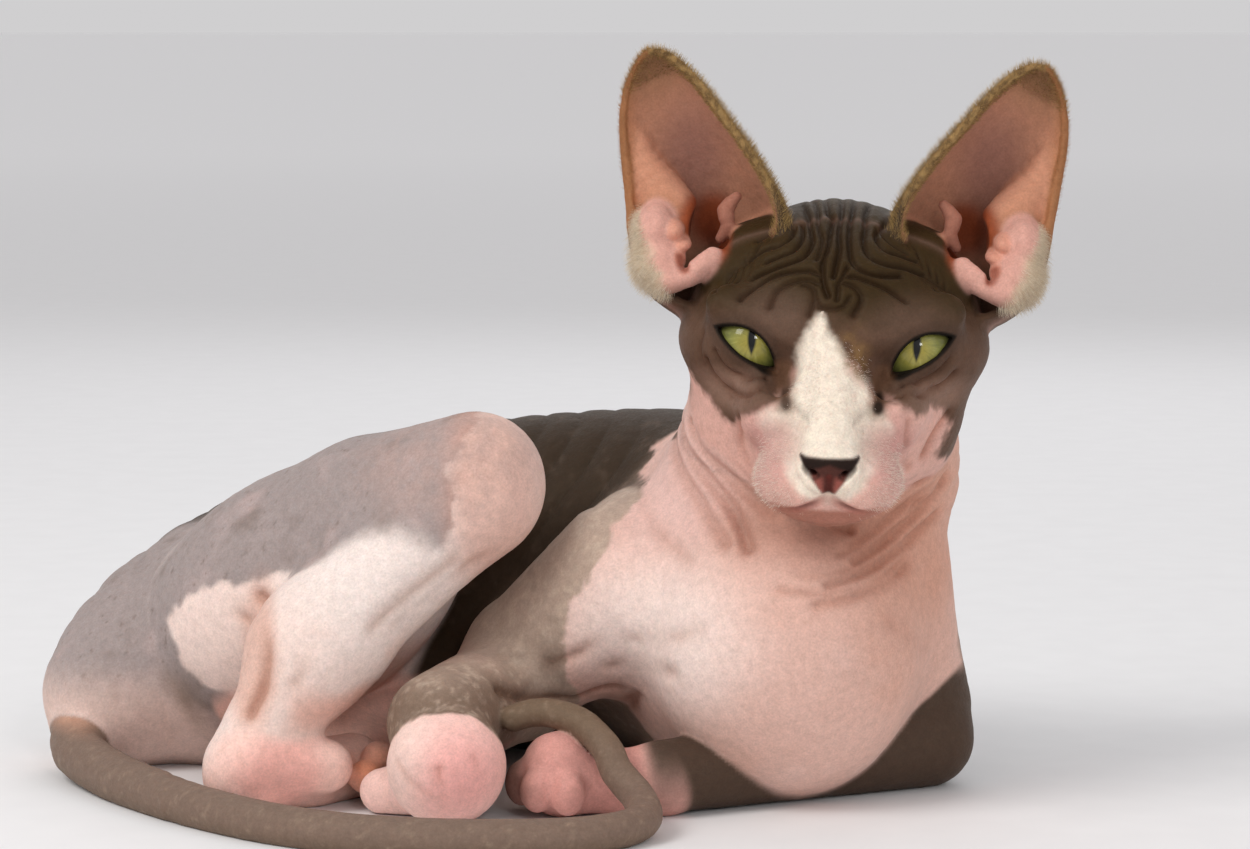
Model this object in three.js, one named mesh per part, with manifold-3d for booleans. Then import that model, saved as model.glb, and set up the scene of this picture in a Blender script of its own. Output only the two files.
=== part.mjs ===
// A hairless sphynx cat, life size, lying on its chest with its head up and its right knee raised.
// Millimetres, +Z up. The cat faces -Y, its rump is towards -X, and it rests on the plane z = 0.
// Every part of the body is a closed form given by a signed distance, turned into triangles by a
// surface net, and parted from its neighbours by cuts as wide as JOINT_GAP.
import * as THREE from "three";
import { mergeVertices } from "three/addons/utils/BufferGeometryUtils.js";
import Module from "manifold-3d";

const wasm = await Module();
wasm.setup();

// Driving dimensions
const JOINT_GAP = 0.3;
const GROW = 0.36; // how far a neighbour is grown before it is cut away
const HEAD_PLACE = [54.3, 0, 123];
const HEAD_TURN = [8, 2.2, -3]; // degrees: nose down, crown towards +X, nose towards -X
const EYE_SPACING = 43;
const EYE_RADIUS = 10.6;
const EYE_DEPTH = 3.4;
const LID_THICKNESS = 1.3;
const LID_CHORD = 19.6;
const LID_SLANT = 32; // degrees, the outer corner up
const LID_RISE = 2.6;
const LID_SAG = 4.6;
const EAR_LENGTH = 55;
const EAR_THICKNESS = 2.2;
const EAR_DEPTH_RATIO = 0.8;
const EAR_STRIPS = 10;
const EYE_FACETS = [18, 11];
const MOUTH_GROOVE = 1;
const NOSTRIL = [1.5, 2.6, 1.2];
const TAIL_ROOT_RADIUS = 8;
const TAIL_TIP_RADIUS = 3.6;
const TAIL_TAPER = 0.55; // below 1, the tail thins sooner near its root
const TAIL_SIDES = 9;
const SOFT = { body: 10, neck: 10, skull: 9, brow: 7, muzzle: 6, lid: 3, socket: 5, thigh: 12, toe: 4, joint: 8 };
const CELL = { body: 11, head: 4.1, thigh: 9.5, upperArm: 8.5, shank: 7.5, forearm: 6.5, foot: 5, paw: 4.8 };

// Vectors and turns
const add = (a, b) => [a[0] + b[0], a[1] + b[1], a[2] + b[2]];
const sub = (a, b) => [a[0] - b[0], a[1] - b[1], a[2] - b[2]];
const mul = (a, s) => [a[0] * s, a[1] * s, a[2] * s];
const dot = (a, b) => a[0] * b[0] + a[1] * b[1] + a[2] * b[2];
const cross = (a, b) => [
  a[1] * b[2] - a[2] * b[1],
  a[2] * b[0] - a[0] * b[2],
  a[0] * b[1] - a[1] * b[0],
];
const unit = (a) => mul(a, 1 / Math.hypot(...a));
const mix = (a, b, t) => a + (b - a) * t;
const degrees = (d) => (d * Math.PI) / 180;

// A turn's three rows, from degrees about X, then Y, then Z.
function turnRows([ax, ay, az]) {
  const e = new THREE.Matrix4().makeRotationFromEuler(
    new THREE.Euler(degrees(ax), degrees(ay), degrees(az), "ZYX"),
  ).elements;
  return [e[0], e[4], e[8], e[1], e[5], e[9], e[2], e[6], e[10]];
}

// Signed distances. Each form is a function of x, y and z.
function egg([cx, cy, cz], [rx, ry, rz], turn = [0, 0, 0]) {
  const m = turnRows(turn);
  return (x, y, z) => {
    const dx = x - cx;
    const dy = y - cy;
    const dz = z - cz;
    const u = (m[0] * dx + m[3] * dy + m[6] * dz) / rx;
    const v = (m[1] * dx + m[4] * dy + m[7] * dz) / ry;
    const w = (m[2] * dx + m[5] * dy + m[8] * dz) / rz;
    const near = Math.sqrt(u * u + v * v + w * w);
    const steep = Math.sqrt((u / rx) ** 2 + (v / ry) ** 2 + (w / rz) ** 2);
    return steep < 1e-9 ? -Math.min(rx, ry, rz) : (near * (near - 1)) / steep;
  };
}

function bone([ax, ay, az], ra, [bx, by, bz], rb) {
  const dx = bx - ax;
  const dy = by - ay;
  const dz = bz - az;
  const length2 = dx * dx + dy * dy + dz * dz;
  return (x, y, z) => {
    const px = x - ax;
    const py = y - ay;
    const pz = z - az;
    const t = Math.min(1, Math.max(0, (px * dx + py * dy + pz * dz) / length2));
    const away = Math.hypot(px - t * dx, py - t * dy, pz - t * dz);
    return away - (ra + (rb - ra) * t);
  };
}

// A smooth line through stations of any width: [x, y, z, side, height, ...].
function smoothed(stations, steps) {
  const last = stations.length - 1;
  const made = [];
  for (let i = 0; i < last; i++) {
    const [a, b, c, d] = [i - 1, i, i + 1, i + 2].map(
      (k) => stations[Math.min(last, Math.max(0, k))],
    );
    for (let s = 0; s < steps; s++) {
      const t = s / steps;
      made.push(
        b.map((_, k) => {
          const bend = 2 * a[k] - 5 * b[k] + 4 * c[k] - d[k];
          const twist = 3 * b[k] - a[k] - 3 * c[k] + d[k];
          return b[k] + 0.5 * t * (c[k] - a[k] + t * (bend + t * twist));
        }),
      );
    }
  }
  made.push(stations[last].slice());
  return made;
}

// A body along stations [x, y, z, half width, half height], its height kept upright.
function trunk(stations, steps = 4) {
  const line = smoothed(stations, steps);
  const pieces = line.slice(1).map((to, i) => {
    const from = line[i];
    const way = sub(to, from);
    const length2 = dot(way, way);
    const along = unit(way);
    const side = unit(cross(along, [0, 0, 1]));
    const up = cross(side, along);
    return { from, to, way, length2, along, side, up };
  });
  return (x, y, z) => {
    let best = Infinity;
    for (const { from, to, way, length2, along, side, up } of pieces) {
      const px = x - from[0];
      const py = y - from[1];
      const pz = z - from[2];
      const raw = (px * way[0] + py * way[1] + pz * way[2]) / length2;
      const t = Math.min(1, Math.max(0, raw));
      const rw = from[3] + (to[3] - from[3]) * t;
      const rh = from[4] + (to[4] - from[4]) * t;
      const qx = px - t * way[0];
      const qy = py - t * way[1];
      const qz = pz - t * way[2];
      const u = (qx * side[0] + qy * side[1] + qz * side[2]) / rw;
      const v = (qx * up[0] + qy * up[1] + qz * up[2]) / rh;
      const w = (qx * along[0] + qy * along[1] + qz * along[2]) / Math.min(rw, rh);
      const near = Math.sqrt(u * u + v * v + w * w);
      const steep = Math.sqrt((u / rw) ** 2 + (v / rh) ** 2 + (w / Math.min(rw, rh)) ** 2);
      const d = steep < 1e-9 ? -Math.min(rw, rh) : (near * (near - 1)) / steep;
      if (d < best) best = d;
    }
    return best;
  };
}

function smin(a, b, k) {
  const h = Math.max(k - Math.abs(a - b), 0) / k;
  return Math.min(a, b) - (h * h * k) / 4;
}
const blend =
  (k, ...forms) =>
  (x, y, z) =>
    forms.reduce((d, f) => smin(d, f(x, y, z), k), 1e3);
const carve = (k, form, ...cuts) => (x, y, z) =>
  cuts.reduce((d, f) => -smin(-d, f(x, y, z), k), form(x, y, z));
const both = (make) => [make(1), make(-1)];

// The head's own frame: the origin midway between the eyes, -Y towards the nose.
const headRows = turnRows(HEAD_TURN);
const turnOut = (m, [x, y, z]) => [
  m[0] * x + m[1] * y + m[2] * z,
  m[3] * x + m[4] * y + m[5] * z,
  m[6] * x + m[7] * y + m[8] * z,
];
const fromHead = (p) => add(HEAD_PLACE, turnOut(headRows, p));
function inHead(form) {
  const m = headRows;
  return (x, y, z) => {
    const dx = x - HEAD_PLACE[0];
    const dy = y - HEAD_PLACE[1];
    const dz = z - HEAD_PLACE[2];
    return form(
      m[0] * dx + m[3] * dy + m[6] * dz,
      m[1] * dx + m[4] * dy + m[7] * dz,
      m[2] * dx + m[5] * dy + m[8] * dz,
    );
  };
}

const eyePlace = (s) => [(s * EYE_SPACING) / 2, EYE_DEPTH, 0];
const lidRadius = EYE_RADIUS + LID_THICKNESS;
const skull = blend(
  SOFT.skull,
  egg([0, 31, 5], [32, 37, 28.5]),
  egg([0, 12, 9], [26, 21, 15]),
  ...both((s) => egg([s * 26, 17, -2], [15, 20, 12])),
  ...both((s) => egg([s * 20, 17, -17], [15, 19, 14])),
  ...both((s) => egg([s * 24, 27, 8], [13, 16, 18])),
);
const muzzle = blend(
  SOFT.muzzle,
  bone([0, 2, 3], 11, [0, -24, -17], 7.5),
  ...both((s) => egg([s * 12, -6, -14], [13, 15, 12])),
  ...both((s) => egg([s * 8, -21.5, -29], [11, 13, 9])),
  egg([0, -18, -34.5], [10.5, 11.5, 7]),
  ...both((s) => bone([s * 7, -8, -31], 8.5, [s * 18, 14, -25], 12)),
);
const noseTip = egg([0, -31.5, -22.5], [8, 5.5, 6], [-20, 0, 0]);
const brow = both((s) => bone([s * 11, -7, 6], 3.5, [s * 29, 1, 11], 4.5));
const headForm = inHead(
  blend(
    SOFT.lid,
    carve(
      SOFT.socket,
      blend(SOFT.brow, blend(SOFT.joint, skull, muzzle), ...brow),
      ...both((s) => egg([s * 13.5, -13, -4], [3.5, 5, 6], [0, 0, s * 20])),
    ),
    noseTip,
    ...both((s) => egg(eyePlace(s), [lidRadius, lidRadius, lidRadius])),
  ),
);

// Neck and body: x, y, z, half width, half height
const neckForm = trunk([
  [46.5, 46, 66, 44, 34],
  [51.5, 40, 88, 40.5, 34],
  [53.5, 33, 106, 33.5, 30],
  [55, 30, 122, 28, 26],
]);
const bodyForm = trunk([
  [43, 22, 42, 36, 42],
  [40, 46, 48, 44, 50],
  [24, 76, 49, 45, 50],
  [-8, 98, 48, 43, 49],
  [-50, 104, 45, 40, 46],
  [-92, 98, 38, 38, 40],
  [-126, 84, 29, 31, 30],
  [-143, 70, 20, 20, 21],
]);
const chestForm = egg([42, 16, 46], [29, 24, 33]);
const flesh = blend(SOFT.body, bodyForm, blend(SOFT.neck, neckForm, chestForm), headForm);

// Right hind leg, the near one, its knee raised
const thighRight = blend(
  SOFT.thigh,
  egg([-90, 60, 50], [53, 32, 33], [0, -31, -26]),
  bone([-66, 42, 74], 22, [-40, 25, 86], 18),
);
const shankRight = blend(
  SOFT.joint,
  bone([-42, 23, 81], 16, [-84, 14, 42], 16),
  bone([-80, 14, 44], 16, [-101, 3, 14], 9.5),
);
const footRight = blend(
  SOFT.toe,
  bone([-101, 1, 9], 9.5, [-84, 16, 9], 8.5),
  bone([-84, 16, 8], 9, [-74, 27, 8], 9),
  ...[[-66, 17, 12], [-69, 12, 8], [-66, 27, 9], [-70, 34, 6]].map((p) => egg(p, [4.6, 4.6, 4.6])),
);

// Left hind leg, folded under the body
const thighLeft = bone([-112, 84, 25], 28, [-52, 84, 20], 19);
const shankLeft = bone([-50, 72, 13], 13, [-98, 46, 10], 10);
const footLeft = blend(
  SOFT.toe,
  bone([-98, 44, 8], 9, [-66, 52, 8], 8.5),
  ...[[-58, 46, 5], [-55, 51, 5.5], [-56, 57, 5.5]].map((p) => egg(p, [6, 4, 5.2])),
);

// Right foreleg, its wrist folded under
const upperArmRight = blend(
  SOFT.joint,
  bone([2, 36, 56], 24, [-24, 44, 36], 18),
  egg([-30, 50, 30], [14, 16, 16]),
);
const forearmRight = bone([-30, 46, 27], 15, [-49, 3, 24], 13.8);
const pawRight = blend(
  SOFT.muzzle,
  egg([-46.5, -9, 15], [15.6, 15, 15.6]),
  bone([-52, 0, 8], 8, [-64, 3, 6], 6),
);

// Left foreleg, its forearm across the front of the chest
const upperArmLeft = bone([68, 42, 54], 20, [80, 50, 22], 15);
const forearmLeft = bone([82, 42, 13], 13.5, [10, 2, 10], 9.5);
const pawLeft = blend(
  SOFT.toe,
  bone([10, 2, 9], 9, [-14, 1, 9], 8.4),
  egg([-18, -1, 11.5], [9.5, 9.5, 11]),
  ...[[-23, -8, 8.5], [-15, -10, 8], [-27, -1, 9], [-25, 6, 8]].map((p) => egg(p, [4.6, 4.6, 6])),
);

// Meshes
function polygonize(form, [lo, hi], cell) {
  const n = [0, 1, 2].map((k) => Math.ceil((hi[k] - lo[k]) / cell) + 1);
  const at = (i, j, k) => (k * n[1] + j) * n[0] + i;
  const value = new Float64Array(n[0] * n[1] * n[2]);
  for (let k = 0; k < n[2]; k++)
    for (let j = 0; j < n[1]; j++)
      for (let i = 0; i < n[0]; i++) {
        const edge = !i || !j || !k || i === n[0] - 1 || j === n[1] - 1 || k === n[2] - 1;
        const d = form(lo[0] + i * cell, lo[1] + j * cell, lo[2] + k * cell);
        value[at(i, j, k)] = edge ? Math.max(d, 0.3 * cell) : d;
      }
  const vertex = new Map();
  const places = [];
  const corners = [0, 1, 2, 3, 4, 5, 6, 7].map((c) => [c & 1, (c >> 1) & 1, c >> 2]);
  for (let k = 0; k < n[2] - 1; k++)
    for (let j = 0; j < n[1] - 1; j++)
      for (let i = 0; i < n[0] - 1; i++) {
        const sum = [0, 0, 0];
        let hits = 0;
        for (let c = 0; c < 8; c++)
          for (let axis = 0; axis < 3; axis++) {
            if (corners[c][axis]) continue;
            const e = c | (1 << axis);
            const [a, b] = [corners[c], corners[e]];
            const va = value[at(i + a[0], j + a[1], k + a[2])];
            const vb = value[at(i + b[0], j + b[1], k + b[2])];
            if (va < 0 === vb < 0) continue;
            const t = va / (va - vb);
            for (let m = 0; m < 3; m++) sum[m] += mix(a[m], b[m], t);
            hits++;
          }
        if (!hits) continue;
        vertex.set(at(i, j, k), places.length);
        places.push([
          lo[0] + (i + sum[0] / hits) * cell,
          lo[1] + (j + sum[1] / hits) * cell,
          lo[2] + (k + sum[2] / hits) * cell,
        ]);
      }
  const quads = [];
  for (let k = 0; k < n[2] - 1; k++)
    for (let j = 0; j < n[1] - 1; j++)
      for (let i = 0; i < n[0] - 1; i++) {
        const here = value[at(i, j, k)] < 0;
        for (let axis = 0; axis < 3; axis++) {
          const step = [0, 0, 0];
          step[axis] = 1;
          const there = value[at(i + step[0], j + step[1], k + step[2])] < 0;
          if (here === there) continue;
          const b = (axis + 1) % 3;
          const c = (axis + 2) % 3;
          if (!(b === 0 ? i : b === 1 ? j : k) || !(c === 0 ? i : c === 1 ? j : k)) continue;
          const ring = [
            [0, 0],
            [1, 0],
            [1, 1],
            [0, 1],
          ].map(([s, t]) => {
            const cellAt = [i, j, k];
            cellAt[b] -= s;
            cellAt[c] -= t;
            return vertex.get(at(...cellAt));
          });
          quads.push(here ? ring : ring.reverse());
        }
      }
  return settle(places, quads, form, lo, hi, cell);
}

// Moves each vertex onto the form, and evens the net out along the surface.
function settle(places, quads, form, lo, hi, cell) {
  const near = places.map(() => new Set());
  for (const q of quads)
    for (let s = 0; s < 4; s++) {
      near[q[s]].add(q[(s + 1) % 4]);
      near[q[(s + 1) % 4]].add(q[s]);
    }
  const fixed = places.map((p) =>
    p.some((v, k) => v < lo[k] + 1.5 * cell || v > hi[k] - 2.5 * cell),
  );
  const step = 0.05 * cell;
  const slope = ([x, y, z]) => [
    (form(x + step, y, z) - form(x - step, y, z)) / (2 * step),
    (form(x, y + step, z) - form(x, y - step, z)) / (2 * step),
    (form(x, y, z + step) - form(x, y, z - step)) / (2 * step),
  ];
  for (let round = 0; round < 3; round++) {
    const evened = places.map((p, i) => {
      if (fixed[i]) return p;
      const middle = [...near[i]].reduce((sum, j) => add(sum, places[j]), [0, 0, 0]);
      return blended(p, mul(middle, 1 / near[i].size), 0.5);
    });
    evened.forEach((p, i) => {
      if (fixed[i]) return;
      let at = p;
      for (let pass = 0; pass < 2; pass++) {
        const g = slope(at);
        const size = Math.max(dot(g, g), 0.2);
        const d = Math.max(-cell / 2, Math.min(cell / 2, form(...at)));
        at = sub(at, mul(g, d / size));
      }
      places[i] = at;
    });
  }
  const grown = places.map((p) => add(p, mul(unit(slope(p)), GROW)));
  return { solid: solidOf(geometryOf(places, quads)), grown: solidOf(geometryOf(grown, quads)) };
}
const blended = (a, b, t) => a.map((v, k) => mix(v, b[k], t));

function geometryOf(places, quads) {
  const index = [];
  const far = (a, b) => Math.hypot(...sub(places[a], places[b]));
  for (const [a, b, c, d] of quads) {
    if (d === undefined) index.push(a, b, c);
    else if (far(a, c) < far(b, d)) index.push(a, b, c, a, c, d);
    else index.push(a, b, d, b, c, d);
  }
  return new THREE.BufferGeometry()
    .setAttribute("position", new THREE.Float32BufferAttribute(places.flat(), 3))
    .setIndex(index);
}

function solidOf(geometry) {
  const bare = geometry.clone();
  bare.deleteAttribute("normal");
  bare.deleteAttribute("uv");
  const merged = mergeVertices(bare, 1e-4);
  return new wasm.Manifold(
    new wasm.Mesh({
      numProp: 3,
      vertProperties: new Float32Array(merged.attributes.position.array),
      triVerts: new Uint32Array(merged.index.array),
    }),
  );
}

function largest(solid) {
  const bodies = solid.decompose();
  return bodies.reduce((a, b) => (b.volume() > a.volume() ? b : a));
}

function meshOf(solid, name, material) {
  const { numProp, numVert, vertProperties, triVerts } = solid.getMesh();
  const places = new Float32Array(numVert * 3);
  for (let i = 0; i < numVert; i++)
    places.set(vertProperties.subarray(i * numProp, i * numProp + 3), i * 3);
  const geometry = new THREE.BufferGeometry()
    .setAttribute("position", new THREE.BufferAttribute(places, 3))
    .setIndex(new THREE.BufferAttribute(triVerts, 1));
  geometry.computeVertexNormals();
  const mesh = new THREE.Mesh(geometry, material);
  mesh.name = name;
  return mesh;
}

// A closed skin over rings of points, one ring after another.
function loft(rings) {
  const n = rings[0].length;
  const places = rings.flat();
  const quads = [];
  for (let i = 0; i + 1 < rings.length; i++)
    for (let j = 0; j < n; j++) {
      const k = (j + 1) % n;
      quads.push([i * n + j, (i + 1) * n + j, (i + 1) * n + k, i * n + k]);
    }
  for (const [ring, turned] of [[0, false], [rings.length - 1, true]]) {
    const middle = mul(rings[ring].reduce(add), 1 / n);
    places.push(middle);
    for (let j = 0; j < n; j++) {
      const pair = [ring * n + j, ring * n + ((j + 1) % n)];
      quads.push([...(turned ? pair.reverse() : pair), places.length - 1]);
    }
  }
  const solid = solidOf(geometryOf(places, quads));
  return solid.volume() > 0 ? solid : solidOf(geometryOf(places, quads.map((q) => q.reverse())));
}

// Round rings square to a line of [x, y, z, radius].
function ringsAlong(line, sides, more = 0) {
  return line.map(([x, y, z, r], i) => {
    const ahead = line[Math.min(i + 1, line.length - 1)];
    const behind = line[Math.max(i - 1, 0)];
    const along = unit(sub(ahead.slice(0, 3), behind.slice(0, 3)));
    const side = unit(cross(along, [0.03, 0.02, 1]));
    const up = cross(side, along);
    return Array.from({ length: sides }, (_, j) => {
      const a = (2 * Math.PI * j) / sides;
      const out = add(mul(side, Math.cos(a) * (r + more)), mul(up, Math.sin(a) * (r + more)));
      return add([x, y, z], out);
    });
  });
}

// Ears: a curved shell, hollow towards the front
const EAR_FOOT = [28.5, 25, 21];
const EAR_TIP = [52, 31, 70.7];
const EAR_TURN_OUT = 12; // degrees
// height along the ear, half width, offset outwards, reach of the inner and outer edges in degrees
const EAR_STATIONS = [
  [-12, 18, 2, 140, 150],
  [-3, 21.6, 3.7, 116, 132],
  [8, 21.6, 3.6, 92, 116],
  [22, 18.7, 3, 85, 94],
  [36, 15, 2.9, 80, 82],
  [49, 9.8, 1.9, 68, 70],
  [EAR_LENGTH, 3.2, 0.2, 55, 55],
];
function earRings(s, thick) {
  const up = unit(sub(EAR_TIP, EAR_FOOT));
  const a = degrees(EAR_TURN_OUT);
  const toFront = [Math.sin(a), -Math.cos(a), 0];
  const side = unit(cross(up, toFront));
  const front = cross(side, up);
  const rings = smoothed(EAR_STATIONS, 2).map(([h, half, shift, inner, outer]) => {
    const middle = add(EAR_FOOT, add(mul(up, h), mul(side, shift)));
    const at = (angle, r) => {
      const p = add(middle, mul(side, r * Math.sin(angle)));
      return add(p, mul(front, -r * EAR_DEPTH_RATIO * Math.cos(angle)));
    };
    const angles = Array.from({ length: EAR_STRIPS + 1 }, (_, j) =>
      degrees(mix(-inner, outer, j / EAR_STRIPS)),
    );
    const t = thick * Math.min(1, 0.45 + half / 30);
    const outside = angles.map((v) => at(v, half));
    const inside = angles.map((v) => at(v, half - t)).reverse();
    return [...outside, ...inside].map(([x, y, z]) => fromHead([s * x, y, z]));
  });
  return rings;
}

// The lids' opening: an almond cone from inside the eye out past the lids.
function lidOpening(s) {
  const centre = eyePlace(s);
  const ahead = unit([s * 0.16, -1, 0.06]);
  const slant = degrees(LID_SLANT);
  const tilt = [s * Math.cos(slant), 0, Math.sin(slant)];
  const along = unit(sub(tilt, mul(ahead, dot(tilt, ahead))));
  const across = mul(cross(ahead, along), -s);
  const edge = Array.from({ length: 20 }, (_, j) => {
    const a = (2 * Math.PI * j) / 20;
    const u = Math.cos(a);
    const reach = Math.sin(a) > 0 ? LID_RISE : LID_SAG;
    const v = Math.sign(Math.sin(a)) * reach * (1 - u * u);
    return [(u * LID_CHORD) / 2, v];
  });
  const ring = (depth, grow) =>
    edge.map(([u, v]) =>
      fromHead(add(add(centre, mul(ahead, depth)), add(mul(along, u * grow), mul(across, v * grow)))),
    );
  return loft([ring(3, 0.55), ring(7, 1), ring(15, 1.5)]);
}

function ball([x, y, z], [rx, ry, rz], around, high, turn = [0, 0, 0]) {
  const geometry = new THREE.SphereGeometry(1, around, high).scale(rx, ry, rz);
  const m = turnRows(turn);
  geometry.applyMatrix4(
    new THREE.Matrix4().set(...m.slice(0, 3), x, ...m.slice(3, 6), y, ...m.slice(6), z, 0, 0, 0, 1),
  );
  return solidOf(geometry);
}

// Nodes
const skin = (colour) => new THREE.MeshStandardMaterial({ color: colour, roughness: 0.6, metalness: 0 });
const DARK = skin(0x5e5048);
const PINK = skin(0xdcb5a5);
const EYE = new THREE.MeshStandardMaterial({ color: 0xa5a24a, roughness: 0.1, metalness: 0 });

const parts = new Map();
const floor = (solid) => solid.trimByPlane([0, 0, 1], 0);
function trim(solid, planes) {
  return planes.reduce((left, [normal, point]) => {
    const n = unit(normal);
    return left.trimByPlane(n, dot(n, point) + JOINT_GAP / 2);
  }, solid);
}
function place(name, solid, grown, material) {
  parts.set(name, { solid: largest(solid), grown, material });
}
function limb(name, form, box, cell, material, after) {
  const made = polygonize(form, box, cell);
  const cut = after.reduce((left, other) => left.subtract(parts.get(other).grown), floor(made.solid));
  place(name, cut, made.grown, material);
}

// Planes that part the flesh, each with its normal towards the head
const NAPE = [[0, -0.55, 0.83], [52, 40, 102]];
const COLLAR = [[0.1, -0.5, 0.86], [42, 40, 78]];
const RIBS = [[0.75, -0.66, 0], [-8, 98, 45]];
const LOIN = [[0.97, 0.22, 0], [-94, 96, 40]];
const away = ([normal, point]) => [mul(normal, -1), point];

const body = polygonize(flesh, [[-190, -40, -14], [126, 166, 150]], CELL.body);
const bodySolid = floor(body.solid);
place("chest", trim(bodySolid, [away(COLLAR), RIBS]), body.grown, PINK);
place("belly", trim(bodySolid, [away(RIBS), LOIN]), body.grown, DARK);
place("rump", trim(bodySolid, [away(LOIN)]), body.grown, DARK);
place("neck", trim(bodySolid, [away(NAPE), COLLAR]), body.grown, PINK);

const fine = polygonize(flesh, [[0, -50, 60], [110, 90, 170]], CELL.head);
const eyeHole = EYE_RADIUS + JOINT_GAP;
const mouthLine = both((s) =>
  [
    [0, -35.2, -30.6], [3, -34.2, -33.2], [7, -31.2, -35.2], [11.5, -26.6, -35.6], [15.5, -20, -34.6],
    [18.5, -12.5, -32.2],
  ].map(([x, y, z]) => [...fromHead([s * x, y, z]), MOUTH_GROOVE]),
).map((line) => loft(ringsAlong(smoothed(line, 2), 5)));
const nostrils = both((s) =>
  ball(fromHead([s * 4.2, -35.2, -25.2]), NOSTRIL, 7, 5, [HEAD_TURN[0] - 25, 0, s * 28]),
);
const headCuts = [
  ...both((s) => ball(fromHead(eyePlace(s)), [eyeHole, eyeHole, eyeHole], ...EYE_FACETS)),
  ...both(lidOpening),
  ...mouthLine,
  ...nostrils,
];
const headSolid = headCuts.reduce((left, cut) => left.subtract(cut), trim(fine.solid, [NAPE]));
place("head", headSolid, fine.grown, DARK);
for (const [s, name] of [[-1, "right"], [1, "left"]]) {
  place(`eye_${name}`, ball(fromHead(eyePlace(s)), [EYE_RADIUS, EYE_RADIUS, EYE_RADIUS], ...EYE_FACETS), null, EYE);
  place(`ear_${name}`, loft(earRings(s, EAR_THICKNESS)).subtract(fine.grown), null, PINK);
}

limb("thigh_right", thighRight, [[-180, -10, -12], [0, 130, 130]], CELL.thigh, PINK, ["chest"]);
limb("shank_right", shankRight, [[-130, -30, -12], [-5, 60, 120]], CELL.shank, PINK, ["chest", "thigh_right"]);
limb("foot_right", footRight, [[-130, -20, -12], [-45, 65, 40]], CELL.foot, PINK, [
  "chest", "thigh_right", "shank_right",
]);
limb("thigh_left", thighLeft, [[-160, 30, -12], [-10, 140, 70]], CELL.thigh, DARK, ["chest", "thigh_right"]);
limb("shank_left", shankLeft, [[-125, 20, -12], [-20, 100, 40]], CELL.shank, PINK, [
  "chest", "thigh_right", "shank_right", "foot_right", "thigh_left",
]);
limb("foot_left", footLeft, [[-125, 20, -12], [-35, 80, 30]], CELL.foot, PINK, [
  "chest", "thigh_right", "shank_right", "foot_right", "thigh_left", "shank_left",
]);
limb("upper_arm_right", upperArmRight, [[-70, -10, -12], [50, 90, 100]], CELL.upperArm, DARK, [
  "chest", "thigh_right", "shank_right", "thigh_left", "shank_left", "foot_left",
]);
limb("forearm_right", forearmRight, [[-75, -30, -12], [0, 80, 60]], CELL.forearm, DARK, [
  "chest", "upper_arm_right", "thigh_right", "shank_right", "foot_left", "shank_left", "foot_right",
]);
limb("paw_right", pawRight, [[-85, -45, -12], [-15, 35, 50]], CELL.foot, PINK, [
  "chest", "forearm_right", "foot_right", "shank_right",
]);
limb("upper_arm_left", upperArmLeft, [[30, 0, -12], [120, 90, 90]], CELL.upperArm, PINK, ["chest"]);
limb("forearm_left", forearmLeft, [[-10, -30, -12], [110, 70, 40]], CELL.forearm, DARK, [
  "chest", "upper_arm_left",
]);
limb("paw_left", pawLeft, [[-50, -30, -12], [25, 30, 40]], CELL.paw, PINK, [
  "chest", "forearm_left", "paw_right", "forearm_right",
]);

// Tail, along the floor past the right foot and paw, its end laid over the left paw
const TAIL_LINE = [
  [-144, 74, 16], [-152, 54, 9], [-141, 30, 6], [-125, 6, 5], [-106, -17, 4.4], [-84, -36, 4.2],
  [-58, -47, 4.2], [-30, -49, 4.2], [-8, -44, 4.3], [4, -32, 5], [4, -20, 8], [-2, -12, 14],
  [-5, -7.5, 19.5], [-12, 0, 25], [-22, 4.5, 26.8], [-31, 6, 24.5],
];
const tailLine = smoothed(TAIL_LINE, 2).map(([x, y, z], i, all) => {
  const r = mix(TAIL_ROOT_RADIUS, TAIL_TIP_RADIUS, Math.pow(i / (all.length - 1), TAIL_TAPER));
  return [x, y, z, i === all.length - 1 ? r * 0.6 : r];
});
const tailAfter = [
  "chest", "thigh_right", "thigh_left", "shank_right", "foot_right", "forearm_right", "paw_right",
  "forearm_left", "paw_left",
];
const TAIL_PARTS = [["tail_root", 0, 10, DARK], ["tail_middle", 10, 20, DARK], ["tail_tip", 20, 30, DARK]];
const tailRings = ringsAlong(tailLine, TAIL_SIDES);
for (const [name, from, to, material] of TAIL_PARTS) {
  const rings = tailRings.slice(from, to + 1);
  if (from) {
    const step = JOINT_GAP / Math.hypot(...sub(tailLine[from + 1], tailLine[from]).slice(0, 3));
    rings[0] = rings[0].map((p, i) => blended(p, rings[1][i], step));
  }
  const cut = tailAfter.reduce((left, other) => left.subtract(parts.get(other).grown), floor(loft(rings)));
  place(name, cut, null, material);
}

const cat = new THREE.Group();
for (const [name, { solid, material }] of parts) cat.add(meshOf(solid, name, material));
const box = new THREE.Box3().setFromObject(cat);
const middle = box.getCenter(new THREE.Vector3());
for (const mesh of cat.children) mesh.geometry.translate(-middle.x, -middle.y, -box.min.z);

export default cat;
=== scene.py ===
# A hairless sphynx cat on a pale floor: wrinkled bare skin, glossy eyes and short down on its ears.
# The skin is the surface of a signed distance in millimetres, in the frame that the solids were
# designed in. SHIFT takes it to the row's frame, and MM turns it to metres.
import math

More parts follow.
